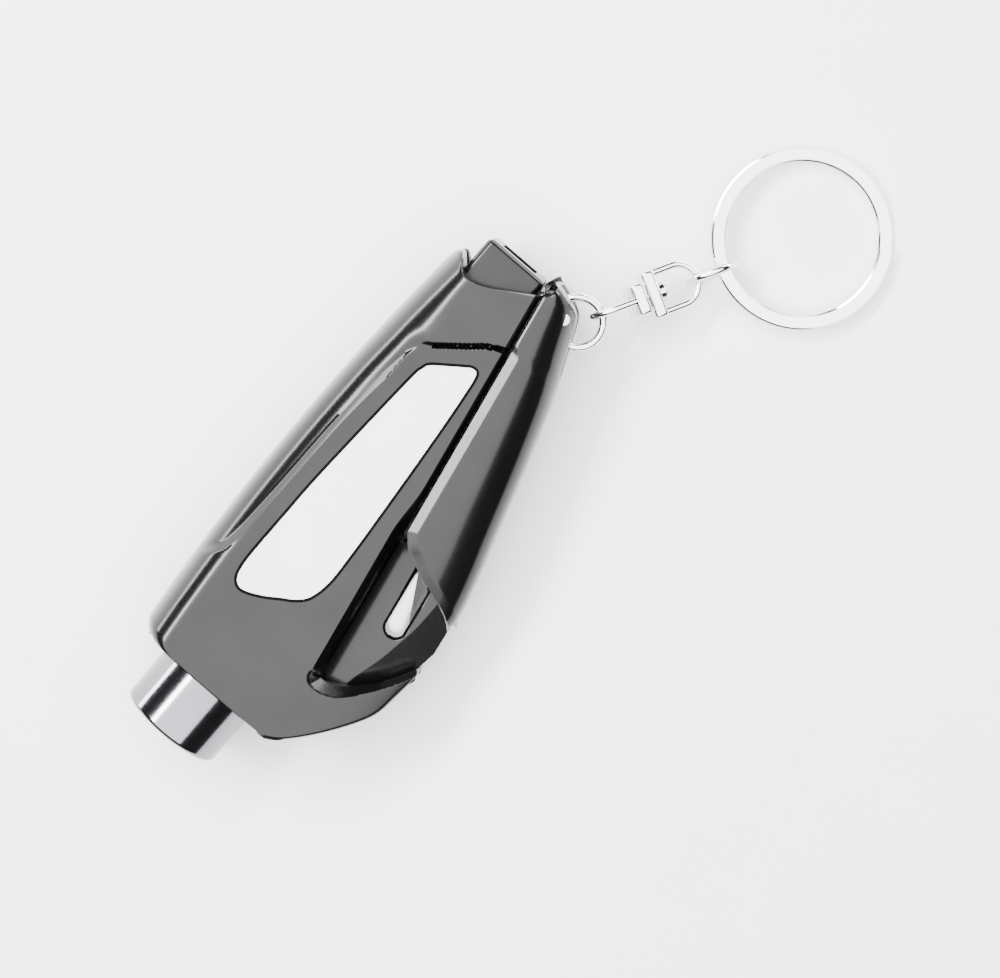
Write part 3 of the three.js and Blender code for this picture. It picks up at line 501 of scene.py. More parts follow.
@dataclass
class Plan:
    """The housing's plan: its silhouette, the label panel, the wall that the guard slides on and the hook."""

    foot: float = 9.0
    side: float = -14.05
    side_station: float = 46.0
    side_bow: float = 360.0
    corner: float = 2.0
    wall: Point = (7.45, 42.0)
    lean: float = math.atan2(5.5, 30.0)
    half: float = 9.0
    roll: float = 5.2
    drop: float = 0.55
    crown: float = 3.0
    chin: float = 21.35
    fall: float = 3.6
    tail: list[Point] = drawn(
        [(-12.85, 75.3), (-12.35, 76.7), (-11.6, 77.25), (-10.75, 76.5), (-9.9, 75.65), (-8.4, 75.25)]
        + [(-5.9, 76.1), (-2.4, 78.1), (0.55, 79.8)],
        12,
    )
    ridge: list[Point] = drawn(
        [(-14.6, 22.9), (-12.9, 23.1), (-11.4, 24.8), (-10.4, 27.3), (-10.05, 36.0), (-9.8, 50.0)]
        + [(-8.8, 60.0), (-7.75, 64.3), (-6.2, 65.7)],
        10,
    )
    seam: list[Point] = drawn([(-6.2, 65.7), (-2.65, 68.6), (-0.6, 70.3), (2.6, 71.9)])
    lip: list[Point] = drawn(
        [(11.4375, 20.25), (12.7, 20.35), (14.7, 21.4), (17.0, 23.6), (18.9, 25.9), (20.2, 28.3), (20.75, 29.3)]
    )
    chin_edge: list[Point] = drawn(
        [(10.8, 9.0), (13.0, 10.4), (16.2, 14.0), (19.2, 18.4), (20.6, 21.4), (21.0, 24.6), (21.3, 28.6)]
        + [(20.75, 29.3)]
    )
    label: list[Point] = drawn(
        [(1.05, 65.0), (1.65, 60.0), (2.35, 53.0), (3.3, 42.0), (3.75, 36.0), (3.92, 31.4), (3.25, 28.2)]
        + [(1.9, 26.6), (0.4, 25.6), (-2.0, 24.0), (-4.4, 22.95), (-5.7, 23.3), (-6.4, 24.8), (-6.65, 28.0)]
        + [(-6.6, 35.0), (-6.5, 42.0), (-5.65, 59.0), (-5.25, 62.0), (-4.75, 63.0), (-3.2, 64.2)]
        + [(-1.2, 65.7), (-0.2, 66.35), (0.65, 66.25), (1.05, 65.0)],
        6,
        closed=True,
    )
    web_top: list[Point] = drawn([(7.6, 41.4), (10.6, 41.0), (13.0, 39.7), (16.3, 38.5), (19.2, 37.0), (20.6, 35.8)])
    crease: list[Point] = drawn(
        [(14.9, 20.5), (14.9, 23.0), (15.9, 27.0), (16.4, 30.0), (16.9, 34.0), (16.9, 40.0)]
    )
    guard_low: list[Point] = drawn(
        [(7.7, 43.6), (9.2, 42.0), (10.7, 41.3), (13.1, 40.0), (16.4, 38.9), (18.8, 37.7), (20.3, 36.4)]
    )
    guard_high: list[Point] = drawn(
        [(0.75, 81.2), (1.3, 82.0), (2.2, 82.15), (3.4, 81.75), (4.9, 81.2), (5.8, 80.6), (6.3, 79.9)]
    )
    guard_side: list[Point] = drawn(
        [(20.3, 36.4), (20.6, 37.2), (20.15, 40.0), (18.75, 45.0), (17.15, 50.0), (14.05, 60.0), (11.0, 69.0)]
        + [(8.4, 75.0), (6.9, 78.7), (6.3, 79.9)]
    )
    throat: tuple[float, float, float] = (14.2, 35.0, 2.6)
    throat_depth: float = 3.2

    def throat_gap(self, x: float, y: float) -> float:
        """Return the distance from a spot to the throat's edge, negative inside it."""
        dx, dy = x - self.throat[0], y - self.throat[1]
        up = -dx * math.sin(self.lean) + dy * math.cos(self.lean)
        side = dx * math.cos(self.lean) + dy * math.sin(self.lean)
        return math.hypot(side, min(0.0, up + self.throat_depth)) - self.throat[2] / 2.0

    def left(self, y: float) -> float:
        """Return X of the bowed left side at a station, with its rounded foot corner."""
        bow = self.side + (y - self.side_station) ** 2 / (2.0 * self.side_bow)
        return bow + round_over(self.corner, y - self.foot)

    def right(self, y: float) -> float:
        """Return X of the straight wall at a station."""
        return self.wall[0] - (y - self.wall[1]) * math.tan(self.lean)

    def guide(self, y: float) -> float:
        """Return X of the ridge's long stretch, carried straight on past both of its ends."""
        stretch = [spot for spot in self.ridge if 25.5 < spot[1] < 63.5]
        return at_height(stretch, y)

    def heel(self) -> Point:
        """Return the spot where the straight wall's line meets the chin's edge."""
        y = self.foot
        for _ in range(12):
            y = at_x(self.chin_edge, self.right(y))
        return (self.right(y), y)

    def crowned(self, x: float) -> float:
        """Return the half thickness of the saddle at X, right of the rolled edge."""
        return self.half - self.fall * max(0.0, (x - self.crown) / (self.chin - self.crown)) ** 2


@dataclass
class HousingHalf:
    """One moulded half of the housing: rolled side, label panel, ridge, foot collar, chin and hook web."""

    front: bool
    plan: Plan
    bore: float = 7.7
    chamfer: float = 0.95
    band: float = 1.4
    rim: float = 0.45
    web: float = 3.5
    columns: int = 100
    rows: int = 340
    chin_columns: int = 60
    chin_rows: int = 48
    web_grid: tuple[int, int] = (90, 130)
    well: float = 1.9
    wells: tuple[tuple[float, float, float], ...] = ()
    seam_foot: float = 64.0
    ridge_head: float = 66.8
    band_fade: Span = (57.0, 65.5)
    drop_fade: Span = (66.0, 77.0)
    corner_fade: Span = (63.5, 66.5)
    corner_fade_x: Span = (-10.5, -6.3)
    wall_fade: Span = (19.5, 22.5)
    guard_fade: Span = (40.0, 46.0)
    roll_share: float = 0.2
    ridge_share: float = 0.06
    wall_share: float = 0.08
    slope_run: Span = (1.5, 0.7)
    slope_fade: Span = (42.0, 50.0)
    lip_cut: float = 1.6
    lip_fade_x: Span = (14.0, 20.0)
    web_fall: float = 0.42
    throat_rim: float = 0.45

    def sunk_by(self, x: float, y: float) -> float:
        """Return how far the face lies below the tail saddle: the side band is lowest and the label panel between."""
        plan = self.plan
        if x > plan.seam[0][0]:
            return plan.drop * (1.0 if y < self.seam_foot else ramp(off_curve(plan.seam, x, y), 0.0, 0.25))
        deeper = self.band - plan.drop
        band = plan.drop * (1.0 - smooth(y, *self.drop_fade)) + deeper * (1.0 - smooth(y, *self.band_fade))
        band *= 1.0 - smooth(x, *self.corner_fade_x) * smooth(y, *self.corner_fade)
        wide = max(0.4, self.chamfer * abs(band - plan.drop) / deeper)
        share = 0.0 if y > self.ridge_head else ramp(off_curve(plan.ridge, x, y), 0.0, wide)
        return band * (1.0 - share) + plan.drop * share

    def height(self, x: float, y: float) -> float:
        """Return Z of the outer face at a spot.

        Args:
            x: The spot's X.
            y: The spot's Y.

        Returns:
            The height above the parting plane.
        """
        plan = self.plan
        inward = x - plan.left(y)
        top = plan.crowned(x) - self.sunk_by(x, y)
        if y > self.seam_foot and x > plan.seam[0][0]:
            groove_off, groove_half, groove_depth = 0.3, 0.42, 1.1
            gap = abs(off_curve(plan.seam, x, y) - groove_off)
            top -= groove_depth * max(0.0, 1.0 - gap / groove_half)
        edge = plan.right(y) - x
        slope = self.slope(y)
        cut = 0.0
        if y > self.wall_fade[0] and edge < slope:
            deep = (top - self.web - 0.4) * (1.0 - 0.72 * smooth(y, *self.guard_fade))
            cut = deep * smooth(y, *self.wall_fade) * (1.0 - max(0.0, edge) / slope)
        top -= max(cut, self.lip_chamfer(x, y)) if x > 8.0 and y < 24.0 else cut
        if inward < plan.roll:
            top *= math.sqrt(max(0.0, 1.0 - (1.0 - max(0.0, inward) / plan.roll) ** 2.2))
        return self.rounded(top, self.edge_distance(x, y))

    def let_in_wells(self, bm: BMesh) -> None:
        """Press round screw wells into the sheet, with its nearest vertices drawn onto each rim."""
        for x, y, floor in self.wells:
            for vert in bm.verts:
                aside = Vector((vert.co.x - x, vert.co.y - y))
                if aside.length < self.well - RIM_INSIDE:
                    vert.co.z = min(vert.co.z, floor)
                elif aside.length < self.well + RIM_OUTSIDE:
                    aside = aside.normalized() * self.well
                    vert.co.x, vert.co.y = x + aside.x, y + aside.y

    def edge_distance(self, x: float, y: float) -> float:
        """Return how far a spot lies inside the foot and the tail's edge."""
        if y > 72.0:
            return abs(off_curve(self.plan.tail, x, y))
        return y - self.plan.foot if x < 10.0 else abs(off_curve(self.plan.chin_edge, x, y))

    def rounded(self, top: float, inside: float) -> float:
        """Round a height off near an edge."""
        return max(top - round_over(self.rim, inside), LOWEST)

    def across(self, share: float, width: float, y: float) -> float:
        """Spread columns so that they crowd on the rolled edge and follow both sides of the ridge's chamfer.

        Args:
            share: The column's share of the grid.
            width: The grid's width there.
            y: The station, which sets where the ridge is.

        Returns:
            The distance from the left side.
        """
        foot, slope = self.plan.guide(y) - self.plan.left(y), self.slope(y)
        if share < self.roll_share:
            return foot * (1.0 - math.cos(share / self.roll_share * math.pi / 3.0)) * 2.0
        share -= self.roll_share
        if share < self.ridge_share:
            return foot + self.chamfer * share / self.ridge_share
        share -= self.ridge_share
        face_share = 1.0 - self.roll_share - self.ridge_share - self.wall_share
        top = foot + self.chamfer
        if share < face_share:
            return top + (width - slope - top) * share / face_share
        return width - slope * (1.0 - (share - face_share) / self.wall_share)

    def slope(self, y: float) -> float:
        """Return the plan width of the sloping wall beside the hook and the guard."""
        return self.slope_run[0] + (self.slope_run[1] - self.slope_run[0]) * smooth(y, *self.slope_fade)

    def main_spot(self, across: float, up: float) -> Point:
        """Return the plan spot of the main sheet's two shares."""
        plan = self.plan
        y = 77.0
        for _ in range(4):
            x = plan.left(y) + self.across(across, plan.right(y) - plan.left(y), y)
            y = at_x(plan.tail, x)
        heel_x, heel_y = plan.heel()
        foot_x = plan.left(heel_y) + self.across(across, heel_x - plan.left(heel_y), heel_y)
        start = max(plan.foot, at_x(plan.chin_edge, foot_x)) if foot_x > plan.chin_edge[0][0] else plan.foot
        knee, share = plan.lip[0][1], self.chin_rows / self.rows
        if up < share:
            station = start + (knee - start) * up / share
        else:
            station = knee + (y - knee) * (up - share) / (1.0 - share)
        wide = plan.right(station) - plan.left(station)
        return (plan.left(station) + self.across(across, wide, station), station)

    def chin_spot(self, across: float, up: float) -> Point:
        """Return the plan spot of the chin's two shares."""
        heel = self.plan.heel()
        lower = along([heel, *(spot for spot in self.plan.chin_edge if spot[0] > heel[0])], across)
        upper = along(self.plan.lip, across)
        return (lower[0] + (upper[0] - lower[0]) * up, lower[1] + (upper[1] - lower[1]) * up)

    def chin_height(self, x: float, y: float) -> float:
        """Return Z of the chin, which is chamfered along the lip."""
        top = self.plan.crowned(x) - self.plan.drop - self.lip_chamfer(x, y)
        return self.rounded(top, abs(off_curve(self.plan.chin_edge, x, y)))

    def lip_chamfer(self, x: float, y: float) -> float:
        """Return how much the chamfer along the lip takes off at a spot."""
        lip = abs(off_curve(self.plan.lip, x, y))
        return self.lip_cut * max(0.0, 1.0 - lip / (self.lip_cut - 0.9 * smooth(x, *self.lip_fade_x)))

    def web_spot(self, across: float, up: float) -> Point:
        """Return the plan spot of the hook web's two shares."""
        plan = self.plan
        low, high = along(plan.lip, across), along(plan.web_top, across)
        lean = 0.5 * (1.0 - abs(2.0 * up - 1.0)) * smooth(across, 0.6, 1.0)
        return (low[0] + (high[0] - low[0]) * up + lean, low[1] - 0.6 + (high[1] - low[1] + 0.6) * up)

    def web_height(self, x: float, y: float) -> float:
        """Return Z of the hook web, which falls away right of its crease, with the throat let in."""
        plan = self.plan
        crease = off_curve(plan.crease, x, y)
        top = self.web + 0.9 * max(0.0, 1.0 - (x - plan.right(y)) / 3.0) ** 2
        top -= self.web_fall * min(5.2, max(0.0, crease))
        rim = plan.throat_gap(x, y)
        if rim < self.throat_rim:
            top -= 0.5 * (1.0 - max(0.0, rim) / self.throat_rim)
        return LOWEST if rim < 0.0 else max(top, LOWEST)

    def floor(self, x: float, y: float) -> float:
        """Return Z of the foot of the side walls, which arch over the nose at the foot."""
        if y < self.plan.foot + 0.01 and abs(x) < self.bore:
            return math.sqrt(self.bore**2 - x * x)
        return 0.0

    def label_window(self, bm: BMesh) -> None:
        """Open the sheet under the label, which leaves the pressed-in nose its room."""
        seat = grown(self.plan.label, 0.1)
        above = [(face, face.calc_center_median()) for face in bm.faces]
        hidden = [face for face, spot in above if spot.z > 2.0 and inside(seat, spot.x, spot.y)]
        bmesh.ops.delete(bm, geom=hidden, context="FACES")

    def build(self, datum: Datum) -> Object:
        """Build and dress the half.

        Args:
            datum: Where the drawing lies in the frame.

        Returns:
            The half's object.
        """
        bm = bmesh.new()
        patch(bm, self.columns, self.rows, self.main_spot, self.height)
        patch(bm, self.chin_columns, self.chin_rows, self.chin_spot, self.chin_height)
        web = patch(bm, *self.web_grid, self.web_spot, self.web_height)
        hole = [f for v in web for f in v.link_faces if all(c.co.z < OPEN_BELOW for c in f.verts)]
        bmesh.ops.delete(bm, geom=list(set(hole)), context="FACES")
        bmesh.ops.remove_doubles(bm, verts=bm.verts, dist=WELD)
        self.let_in_wells(bm)
        skirt(bm, self.floor)
        self.label_window(bm)
        if not self.front:
            bmesh.ops.scale(bm, verts=bm.verts, vec=(1.0, 1.0, -1.0))
        name = "front_shell" if self.front else "back_shell"
        kind = Piece(f"{name}_moulding", "housing", "housing_plastic", (name,), wall=0.9)
        return kind.build(bm, datum.place(), LACQUERED_ABS.material())


@dataclass
class Guard:
    """The blade guard that slides along the wall, with its bright chamfer and the slot for the jump ring."""

    plan: Plan
    half: float = 8.0
    outer: float = 4.4
    gap: float = 0.4
    chamfer: float = 1.4
    slot: float = 0.85
    rounding: float = 1.8
    bevel_share: float = 0.15
    bevel_drop: float = 0.42
    bevel_fade: Span = (71.0, 73.0)

    def spot(self, across: float, up: float) -> Point:
        """Return the plan spot of the sheet's two shares."""
        low, high = along(self.plan.guard_low, across), along(self.plan.guard_high, across)
        station_left = low[1] + (high[1] - low[1]) * up
        left = self.plan.right(station_left) + self.gap
        right = at_height(self.plan.guard_side, station_left)
        base = (low[0] - self.plan.guard_low[0][0]) / (self.plan.guard_low[-1][0] - self.plan.guard_low[0][0])
        tip = (high[0] - self.plan.guard_high[0][0]) / (self.plan.guard_high[-1][0] - self.plan.guard_high[0][0])
        share = base + (tip - base) * up
        bevel = self.bevel(station_left)
        if share < self.bevel_share:
            return (left + bevel * share / self.bevel_share, station_left)
        beyond = (share - self.bevel_share) / (1.0 - self.bevel_share)
        return (left + bevel + (right - left - bevel) * beyond, station_left)

    def bevel(self, y: float) -> float:
        """Return the width of the bright chamfer at a station: a hairline at the tail, full below it."""
        return self.chamfer * (0.2 + 0.8 * (1.0 - smooth(y, *self.bevel_fade)))

    def height(self, x: float, y: float) -> float:
        """Return Z of the guard's outer face at a spot."""
        left = self.plan.right(y) + self.gap
        right = at_height(self.plan.guard_side, y)
        width = max(0.5, right - left)
        bevel = self.bevel(y)
        share = ramp(x - left, bevel, width)
        top = self.half - (self.half - self.outer) * share**2.2
        side = min(x - left, abs(off_curve(self.plan.guard_low, x, y)) if y < 46.0 else FAR)
        top -= self.bevel_drop * max(0.0, 1.0 - side / bevel) * bevel / self.chamfer
        near = min(right - x, abs(off_curve(self.plan.guard_high, x, y)) if y > 78.0 else FAR)
        return max(top - round_over(self.rounding, max(0.0, near)), 1.0)

    def floor(self, x: float, y: float) -> float:
        """Return Z of the walls' foot, which leaves the ring's slot open."""
        return self.slot if y > 72.5 and x > self.plan.right(y) + 1.4 else 0.0

    def build(self, datum: Datum) -> Object:
        """Build and dress the guard as two mirrored faces and their walls."""
        bm = bmesh.new()
        patch(bm, 70, 250, self.spot, self.height)
        skirt(bm, self.floor)
        copied = bmesh.ops.duplicate(bm, geom=[*bm.verts, *bm.edges, *bm.faces])
        bmesh.ops.scale(bm, verts=verts_of(copied), vec=(1.0, 1.0, -1.0))
        kind = Piece("blade_guard_moulding", "guard", "housing_plastic", ("blade_guard",), wall=0.9)
        return kind.build(bm, datum.place(), LACQUERED_ABS.material())


# ------------------------------------------------------------------ turned, swept and moulded pieces


def turn(bm: BMesh, profile: Curve, steps: int = 96) -> None:
    """Spin a profile of [radius, station] points about the Y axis."""
    verts = [bm.verts.new((radius, y, 0.0)) for radius, y in profile]
    edges = [bm.edges.new(pair) for pair in zip(verts, verts[1:])]
    bmesh.ops.spin(
        bm, geom=[*verts, *edges], cent=(0, 0, 0), axis=(0, 1, 0), angle=math.tau, steps=steps, use_merge=True
    )


def sweep(bm: BMesh, rings: Sequence[Sequence[Vector]]) -> None:
    """Carry a section along a path and close both ends.

    Args:
        bm: The bmesh that receives the bar.
        rings: The section's points at each place on the path.
    """
    verts = [bm.verts.new(spot) for spot in rings[0]]
    start = bm.faces.new(verts)
    rim = list(start.edges)
    for ring in rings[1:]:
        order = {vert: index for index, vert in enumerate(verts)}
        made = bmesh.ops.extrude_edge_only(bm, edges=rim)
        fresh = verts_of(made)
        moved = {}
        for vert in fresh:
            old = next(edge.other_vert(vert) for edge in vert.link_edges if edge.other_vert(vert) in order)
            moved[order[old]] = vert
        for index, vert in moved.items():
            vert.co = ring[index]
        verts = [moved[index] for index in range(len(ring))]
        edges = [item for item in made["geom"] if isinstance(item, BMEdge)]
        rim = [edge for edge in edges if all(vert in fresh for vert in edge.verts)]
    bm.faces.new(verts)


def wire(bm: BMesh, path: Curve, radius: float, sides: int = 20) -> None:
    """Lay a round wire along a flat path in the XY plane.

    Args:
        bm: The bmesh that receives the wire.
        path: The wire's centre line.
        radius: The wire's radius.
        sides: How many sides its section has.
    """
    rings = []
    for before, spot, after in zip([path[0], *path[:-1]], path, [*path[1:], path[-1]]):
        heading = Vector((after[0] - before[0], after[1] - before[1], 0.0)).normalized()
        aside = Vector((-heading.y, heading.x, 0.0))
        ring = []
        for side in range(sides):
            turned = math.tau * side / sides
            lift = Vector((0, 0, radius * math.sin(turned)))
            ring.append(Vector((*spot, 0.0)) + aside * radius * math.cos(turned) + lift)
        rings.append(ring)
    sweep(bm, rings)


def box(bm: BMesh, low: Sequence[float], high: Sequence[float], round_off: float, segments: int = 4) -> None:
    """Add a box between two corners, with its edges rounded."""
    made = bmesh.ops.create_cube(bm, size=1.0)["verts"]
    bmesh.ops.scale(bm, verts=made, vec=[h - l for h, l in zip(high, low)])
    bmesh.ops.translate(bm, verts=made, vec=[(h + l) / 2.0 for h, l in zip(high, low)])
    edges = list({edge for vert in made for edge in vert.link_edges})
    soft = {"offset": round_off, "segments": segments, "profile": 0.5, "clamp_overlap": True}
    bmesh.ops.bevel(bm, geom=edges, affect="EDGES", material=-1, **soft)


@dataclass
class Labels:
    """The white domed label on each face, and the near-black sheet round it that paints the shadow of the gap."""

    plan: Plan
    datum: Datum
    seam: float = 0.4
    gap_shadow: float = 0.5
    proud: float = 0.08
    sunk: float = 1.0

    def build(self) -> None:
        """Build both labels and the painted gap shadows round them."""
        place = self.datum.place()
        for node in ("front_inlay", "back_inlay"):
            low, high = self.datum.corners(node)
            bm = bmesh.new()
            plate(bm, self.plan.label, low[2], high[2])
            Piece(f"{node}_dome", "housing", "label_plastic", (node,), edge=0.14, edge_steps=3).build(
                bm, place, EPOXY_LABEL.material()
            )
            face = high[2] + self.proud if low[2] > 0.0 else low[2] + self.sunk
            # A near-black ring sheet round the label: painted shadow standing in for the gap's shade.
            bm = bmesh.new()
            plate(bm, grown(self.plan.label, self.seam), face - self.gap_shadow, face, [grown(self.plan.label, 0.02)])
            Piece(f"{node}_gasket", "housing", "label_plastic").build(bm, place, GAP_SHADOW_SHEET.material())


@dataclass
class Punch:
    """The chromed press-in nose with its guide lugs, and the hardened spike inside it."""

    datum: Datum
    rim: float = 0.7
    wall: float = 1.4
    front: float = 2.2
    mouth: float = 2.2
    lug: float = 3.0
    shank: float = 1.9
    stem: float = 1.1

    def build(self) -> None:
        """Build the sleeve and the spike."""
        low, high = self.datum.corners("nose_sleeve")
        length, radius = high[1] - low[1], (high[2] - low[2]) / 2.0
        bm = bmesh.new()
        rounding = [(radius - self.rim + x, self.rim + y) for x, y in arc((0.0, 0.0), self.rim, -90, 0, 8)]
        inner = radius - self.wall
        mouth = [(self.mouth, self.front), (self.mouth, 0.6), (self.mouth + 0.45, 0.12), (self.mouth + 0.7, 0.0)]
        shell = [*mouth, *rounding, (radius, length), (inner, length), (inner, self.front), mouth[0]]
        turn(bm, shell, 128)
        for side in (-1, 1):
            start, end = sorted((side * (radius - 0.4), side * high[0]))
            box(bm, (start, length - self.lug, -self.lug / 2.0), (end, length, self.lug / 2.0), 0.2)
        Piece("nose_sleeve_plated", "nose", "dark_chrome", ("nose_sleeve",)).build(
            bm, self.datum.place(), BLACK_CHROME.material()
        )
        low, high = self.datum.corners("spike")
        tip, end, flange = low[1], high[1], (high[0] - low[0]) / 2.0
        spike = [(0.0, tip), (0.12, tip + 0.06), (self.shank, tip + 3.0), (self.shank, tip + 8.8)]
        spike += [(flange - 0.2, tip + 8.8), (flange, tip + 9.0), (flange, tip + 11.1), (flange - 0.2, tip + 11.3)]
        spike += [(self.stem, tip + 11.3), (self.stem, end - 0.2), (self.stem - 0.2, end), (0.0, end)]
        bm = bmesh.new()
        turn(bm, spike, 64)
        Piece("spike_ground", "spike", "hard_steel", ("spike",)).build(
            bm, self.datum.place(), GROUND_STEEL.material()
        )


@dataclass
class TailPlug:
    """The moulded plug held between the halves at the tail."""

    datum: Datum
    round_off: float = 0.9
    collar: float = 0.9
    lip: float = 1.6
    sunk: float = 1.4

    def build(self) -> None:
        """Build the plug, with its end pressed in behind a lip."""
        low, high = self.datum.corners("tail_plug")
        half = (high[2] - low[2]) / 2.0
        bm = bmesh.new()
        box(bm, (low[0] + self.collar, low[1], -half), (high[0], high[1], half), self.round_off, 5)
        top = max(bm.faces, key=lambda face: face.calc_center_median().y)
        bmesh.ops.inset_region(bm, faces=[top], thickness=self.lip)
        pressed = bmesh.ops.extrude_face_region(bm, geom=[top])
        bmesh.ops.delete(bm, geom=[top], context="FACES_ONLY")
        bmesh.ops.translate(bm, verts=verts_of(pressed), vec=(0.0, -self.sunk, 0.0))
        # The plug takes the lacquer darkened as painted shade.
        Piece("tail_plug_moulding", "housing", "plug_plastic", ("tail_plug",)).build(
            bm, self.datum.place(), SHADED_ABS.material()
        )


@dataclass
class Blade:
    """The belt blade, ground on both faces to its edge."""

    plan: Plan
    datum: Datum
    length: float = 9.0
    depth: float = 5.6
    thick: float = 0.5
    grind: float = 1.1
    keen: float = 0.03
    edge: Point = (14.4, 35.4)
    turned: float = -60.0

    def build(self) -> None:
        """Build the blade from its section."""
        half = self.thick / 2.0
        section = [(-self.depth, -half), (-self.depth, half), (-self.grind, half)]
        section += [(0.0, self.keen), (0.0, -self.keen), (-self.grind, -half)]
        bm = bmesh.new()
        face = bm.faces.new([bm.verts.new((-self.length / 2.0, y, z)) for y, z in section])
        pulled = bmesh.ops.extrude_face_region(bm, geom=[face], use_keep_orig=True)
        bmesh.ops.translate(bm, verts=verts_of(pulled), vec=(self.length, 0.0, 0.0))
        set_down = Matrix.Translation((*self.edge, 0.0)) @ Matrix.Rotation(math.radians(self.turned), 4, "Z")
        bmesh.ops.transform(bm, matrix=set_down, verts=bm.verts)
        Piece("blade_ground", "housing", "hard_steel", ("blade",), smooth_angle=20.0).build(
            bm, self.datum.place(), GROUND_STEEL.material()
        )


@dataclass
class Chain:
    """The jump rings, the two-part swivel and the split key ring."""

    joints: dict[str, dict]
    datum: Datum
    ring_wire: float = 0.55
    ring_radius: float = 3.45
    link_wire: float = 0.52
    pitch: float = 1.2
    bow_half: float = 2.83
    eye_block: float = 5.25
    bow_block: float = 7.5
    block: float = 1.8
    bow_top: float = 14.4
    key_radius: float = 11.55
    key_band: float = 1.9
    key_strip: float = 0.9
    key_seam: float = 0.1
    key_lift: float = -11.0

    def place(self) -> Matrix:
        """Return the chain's own frame, from its joints in the record."""
        origin = Vector(self.joints["eye_swing"]["pos_m"])
        ahead = Vector(self.joints["swivel_spin"]["axis"]).normalized()
        aside = Vector(self.joints["eye_swing"]["axis"]).normalized()
        up = ahead.cross(aside)
        turned = Matrix((ahead, aside, up)).transposed().to_4x4()
        return Matrix.Translation(origin) @ turned @ Matrix.Scale(MM, 4)

    def hoop(self, centre: Point) -> BMesh:
        """Return an open jump ring, with the butt of its two ends."""
        bm = bmesh.new()
        wire(bm, arc(centre, self.ring_radius, 31.0, 389.5, 96), self.ring_wire, 20)
        return bm

    def bow(self, bm: BMesh, start: float, apex: float) -> None:
        """Lay a U of wire in the XY plane, open towards start and round at apex."""
        sign = 1.0 if apex > start else -1.0
        centre = apex - sign * self.bow_half
        bend = [(centre + sign * x, y) for x, y in arc((0.0, 0.0), self.bow_half, -90, 90, 28)]
        wire(bm, [(start, -self.bow_half), *bend, (start, self.bow_half)], self.link_wire, 20)

    def carrier(self, bm: BMesh, centre: float) -> None:
        """Add a swivel block across the chain, rounded and pinched between its arms."""
        half, wide = self.block / 2.0, self.bow_half + self.link_wire
        box(bm, (centre - half, -wide, -2.2), (centre + half, wide, 2.2), 0.45)

    def key_ring(self) -> BMesh:
        """Return the flat strip wound twice, with the jog where its turns cross over."""
        bm = bmesh.new()
        jog, rings = 0.45, []
        half, thick, soft = self.key_band / 2.0, self.key_strip / 2.0, 0.22
        corner = [(half - soft, thick), (-half + soft, thick), (-half, thick - soft), (-half, -thick + soft)]
        section = corner + [(-r, -h) for r, h in corner]
        steps = 240
        for step in range(steps + 1):
            turned = jog * 1.1 + step / steps * (2.0 * math.tau - 2.2 * jog)
            lift = (smooth(turned, math.tau - jog, math.tau + jog) - 0.5) * (self.key_strip + self.key_seam)
            out = Vector((math.cos(turned), math.sin(turned), 0.0))
            ring = [out * (self.key_radius + r) + Vector((self.key_radius, 0.0, h + lift)) for r, h in section]
            rings.append(ring)
        sweep(bm, rings)
        return bm

    def build(self) -> None:
        """Build every link of the chain."""
        chrome = BRIGHT_CHROME.material()
        drawn, placed = self.datum.place(), self.place()
        low, high = self.datum.corners("jump_ring_tool")
        centre = ((low[0] + high[0]) / 2.0, (low[1] + high[1]) / 2.0)
        Piece("jump_ring_tool_wire", "tool_ring", "bright_chrome", ("jump_ring_tool",)).build(
            self.hoop(centre), drawn, chrome
        )
        on_edge = Matrix.Rotation(math.radians(90.0), 4, "X")
        bm = bmesh.new()
        self.bow(bm, self.eye_block, -self.pitch)
        self.carrier(bm, self.eye_block)
        bmesh.ops.transform(bm, matrix=on_edge, verts=bm.verts)
        Piece("swivel_eye_wire", "swivel_eye", "bright_chrome", ("swivel_eye",)).build(bm, placed, chrome)
        bm = bmesh.new()
        self.bow(bm, self.bow_block - self.block / 2.0 + 0.2, self.bow_top)
        self.carrier(bm, self.bow_block)
        Piece("swivel_bow_wire", "swivel_bow", "bright_chrome", ("swivel_bow",)).build(bm, placed, chrome)
        bm = bmesh.new()
        shoulder = self.bow_block + self.block / 2.0 + 0.15
        dome = [(r, shoulder + up) for r, up in ((1.3, 0.0), (1.3, 0.7), (1.0, 1.1), (0.5, 1.2), (0.0, 1.2))]
        end = self.eye_block - self.block / 2.0
        turn(bm, [(0.0, end), (0.88, end), (0.88, shoulder), *dome], 48)
        bmesh.ops.transform(bm, matrix=Matrix.Rotation(math.radians(-90.0), 4, "Z"), verts=bm.verts)
        Piece("swivel_rivet_head", "swivel_eye", "bright_chrome", ("swivel_rivet",)).build(bm, placed, chrome)
        ring_centre = self.bow_top - self.pitch + self.ring_radius
        bm = self.hoop((0.0, 0.0))
        upright = Matrix.Translation((ring_centre, 0.0, 0.0)) @ Matrix.Rotation(math.radians(90.0), 4, "X")
        bmesh.ops.transform(bm, matrix=upright, verts=bm.verts)
        Piece("jump_ring_key_wire", "link_ring", "bright_chrome", ("jump_ring_key",)).build(bm, placed, chrome)
        set_back = self.ring_wire + 0.25 + self.key_band / 2.0
        hung = Matrix.Translation((ring_centre + self.ring_radius - set_back, 0.0, 0.0))
        hung = hung @ Matrix.Rotation(math.radians(self.key_lift), 4, "Y")
        Piece("key_ring_strip", "key_ring", "bright_chrome", ("key_ring",)).build(
            self.key_ring(), placed @ hung, chrome
        )


# ------------------------------------------------------------------ studio


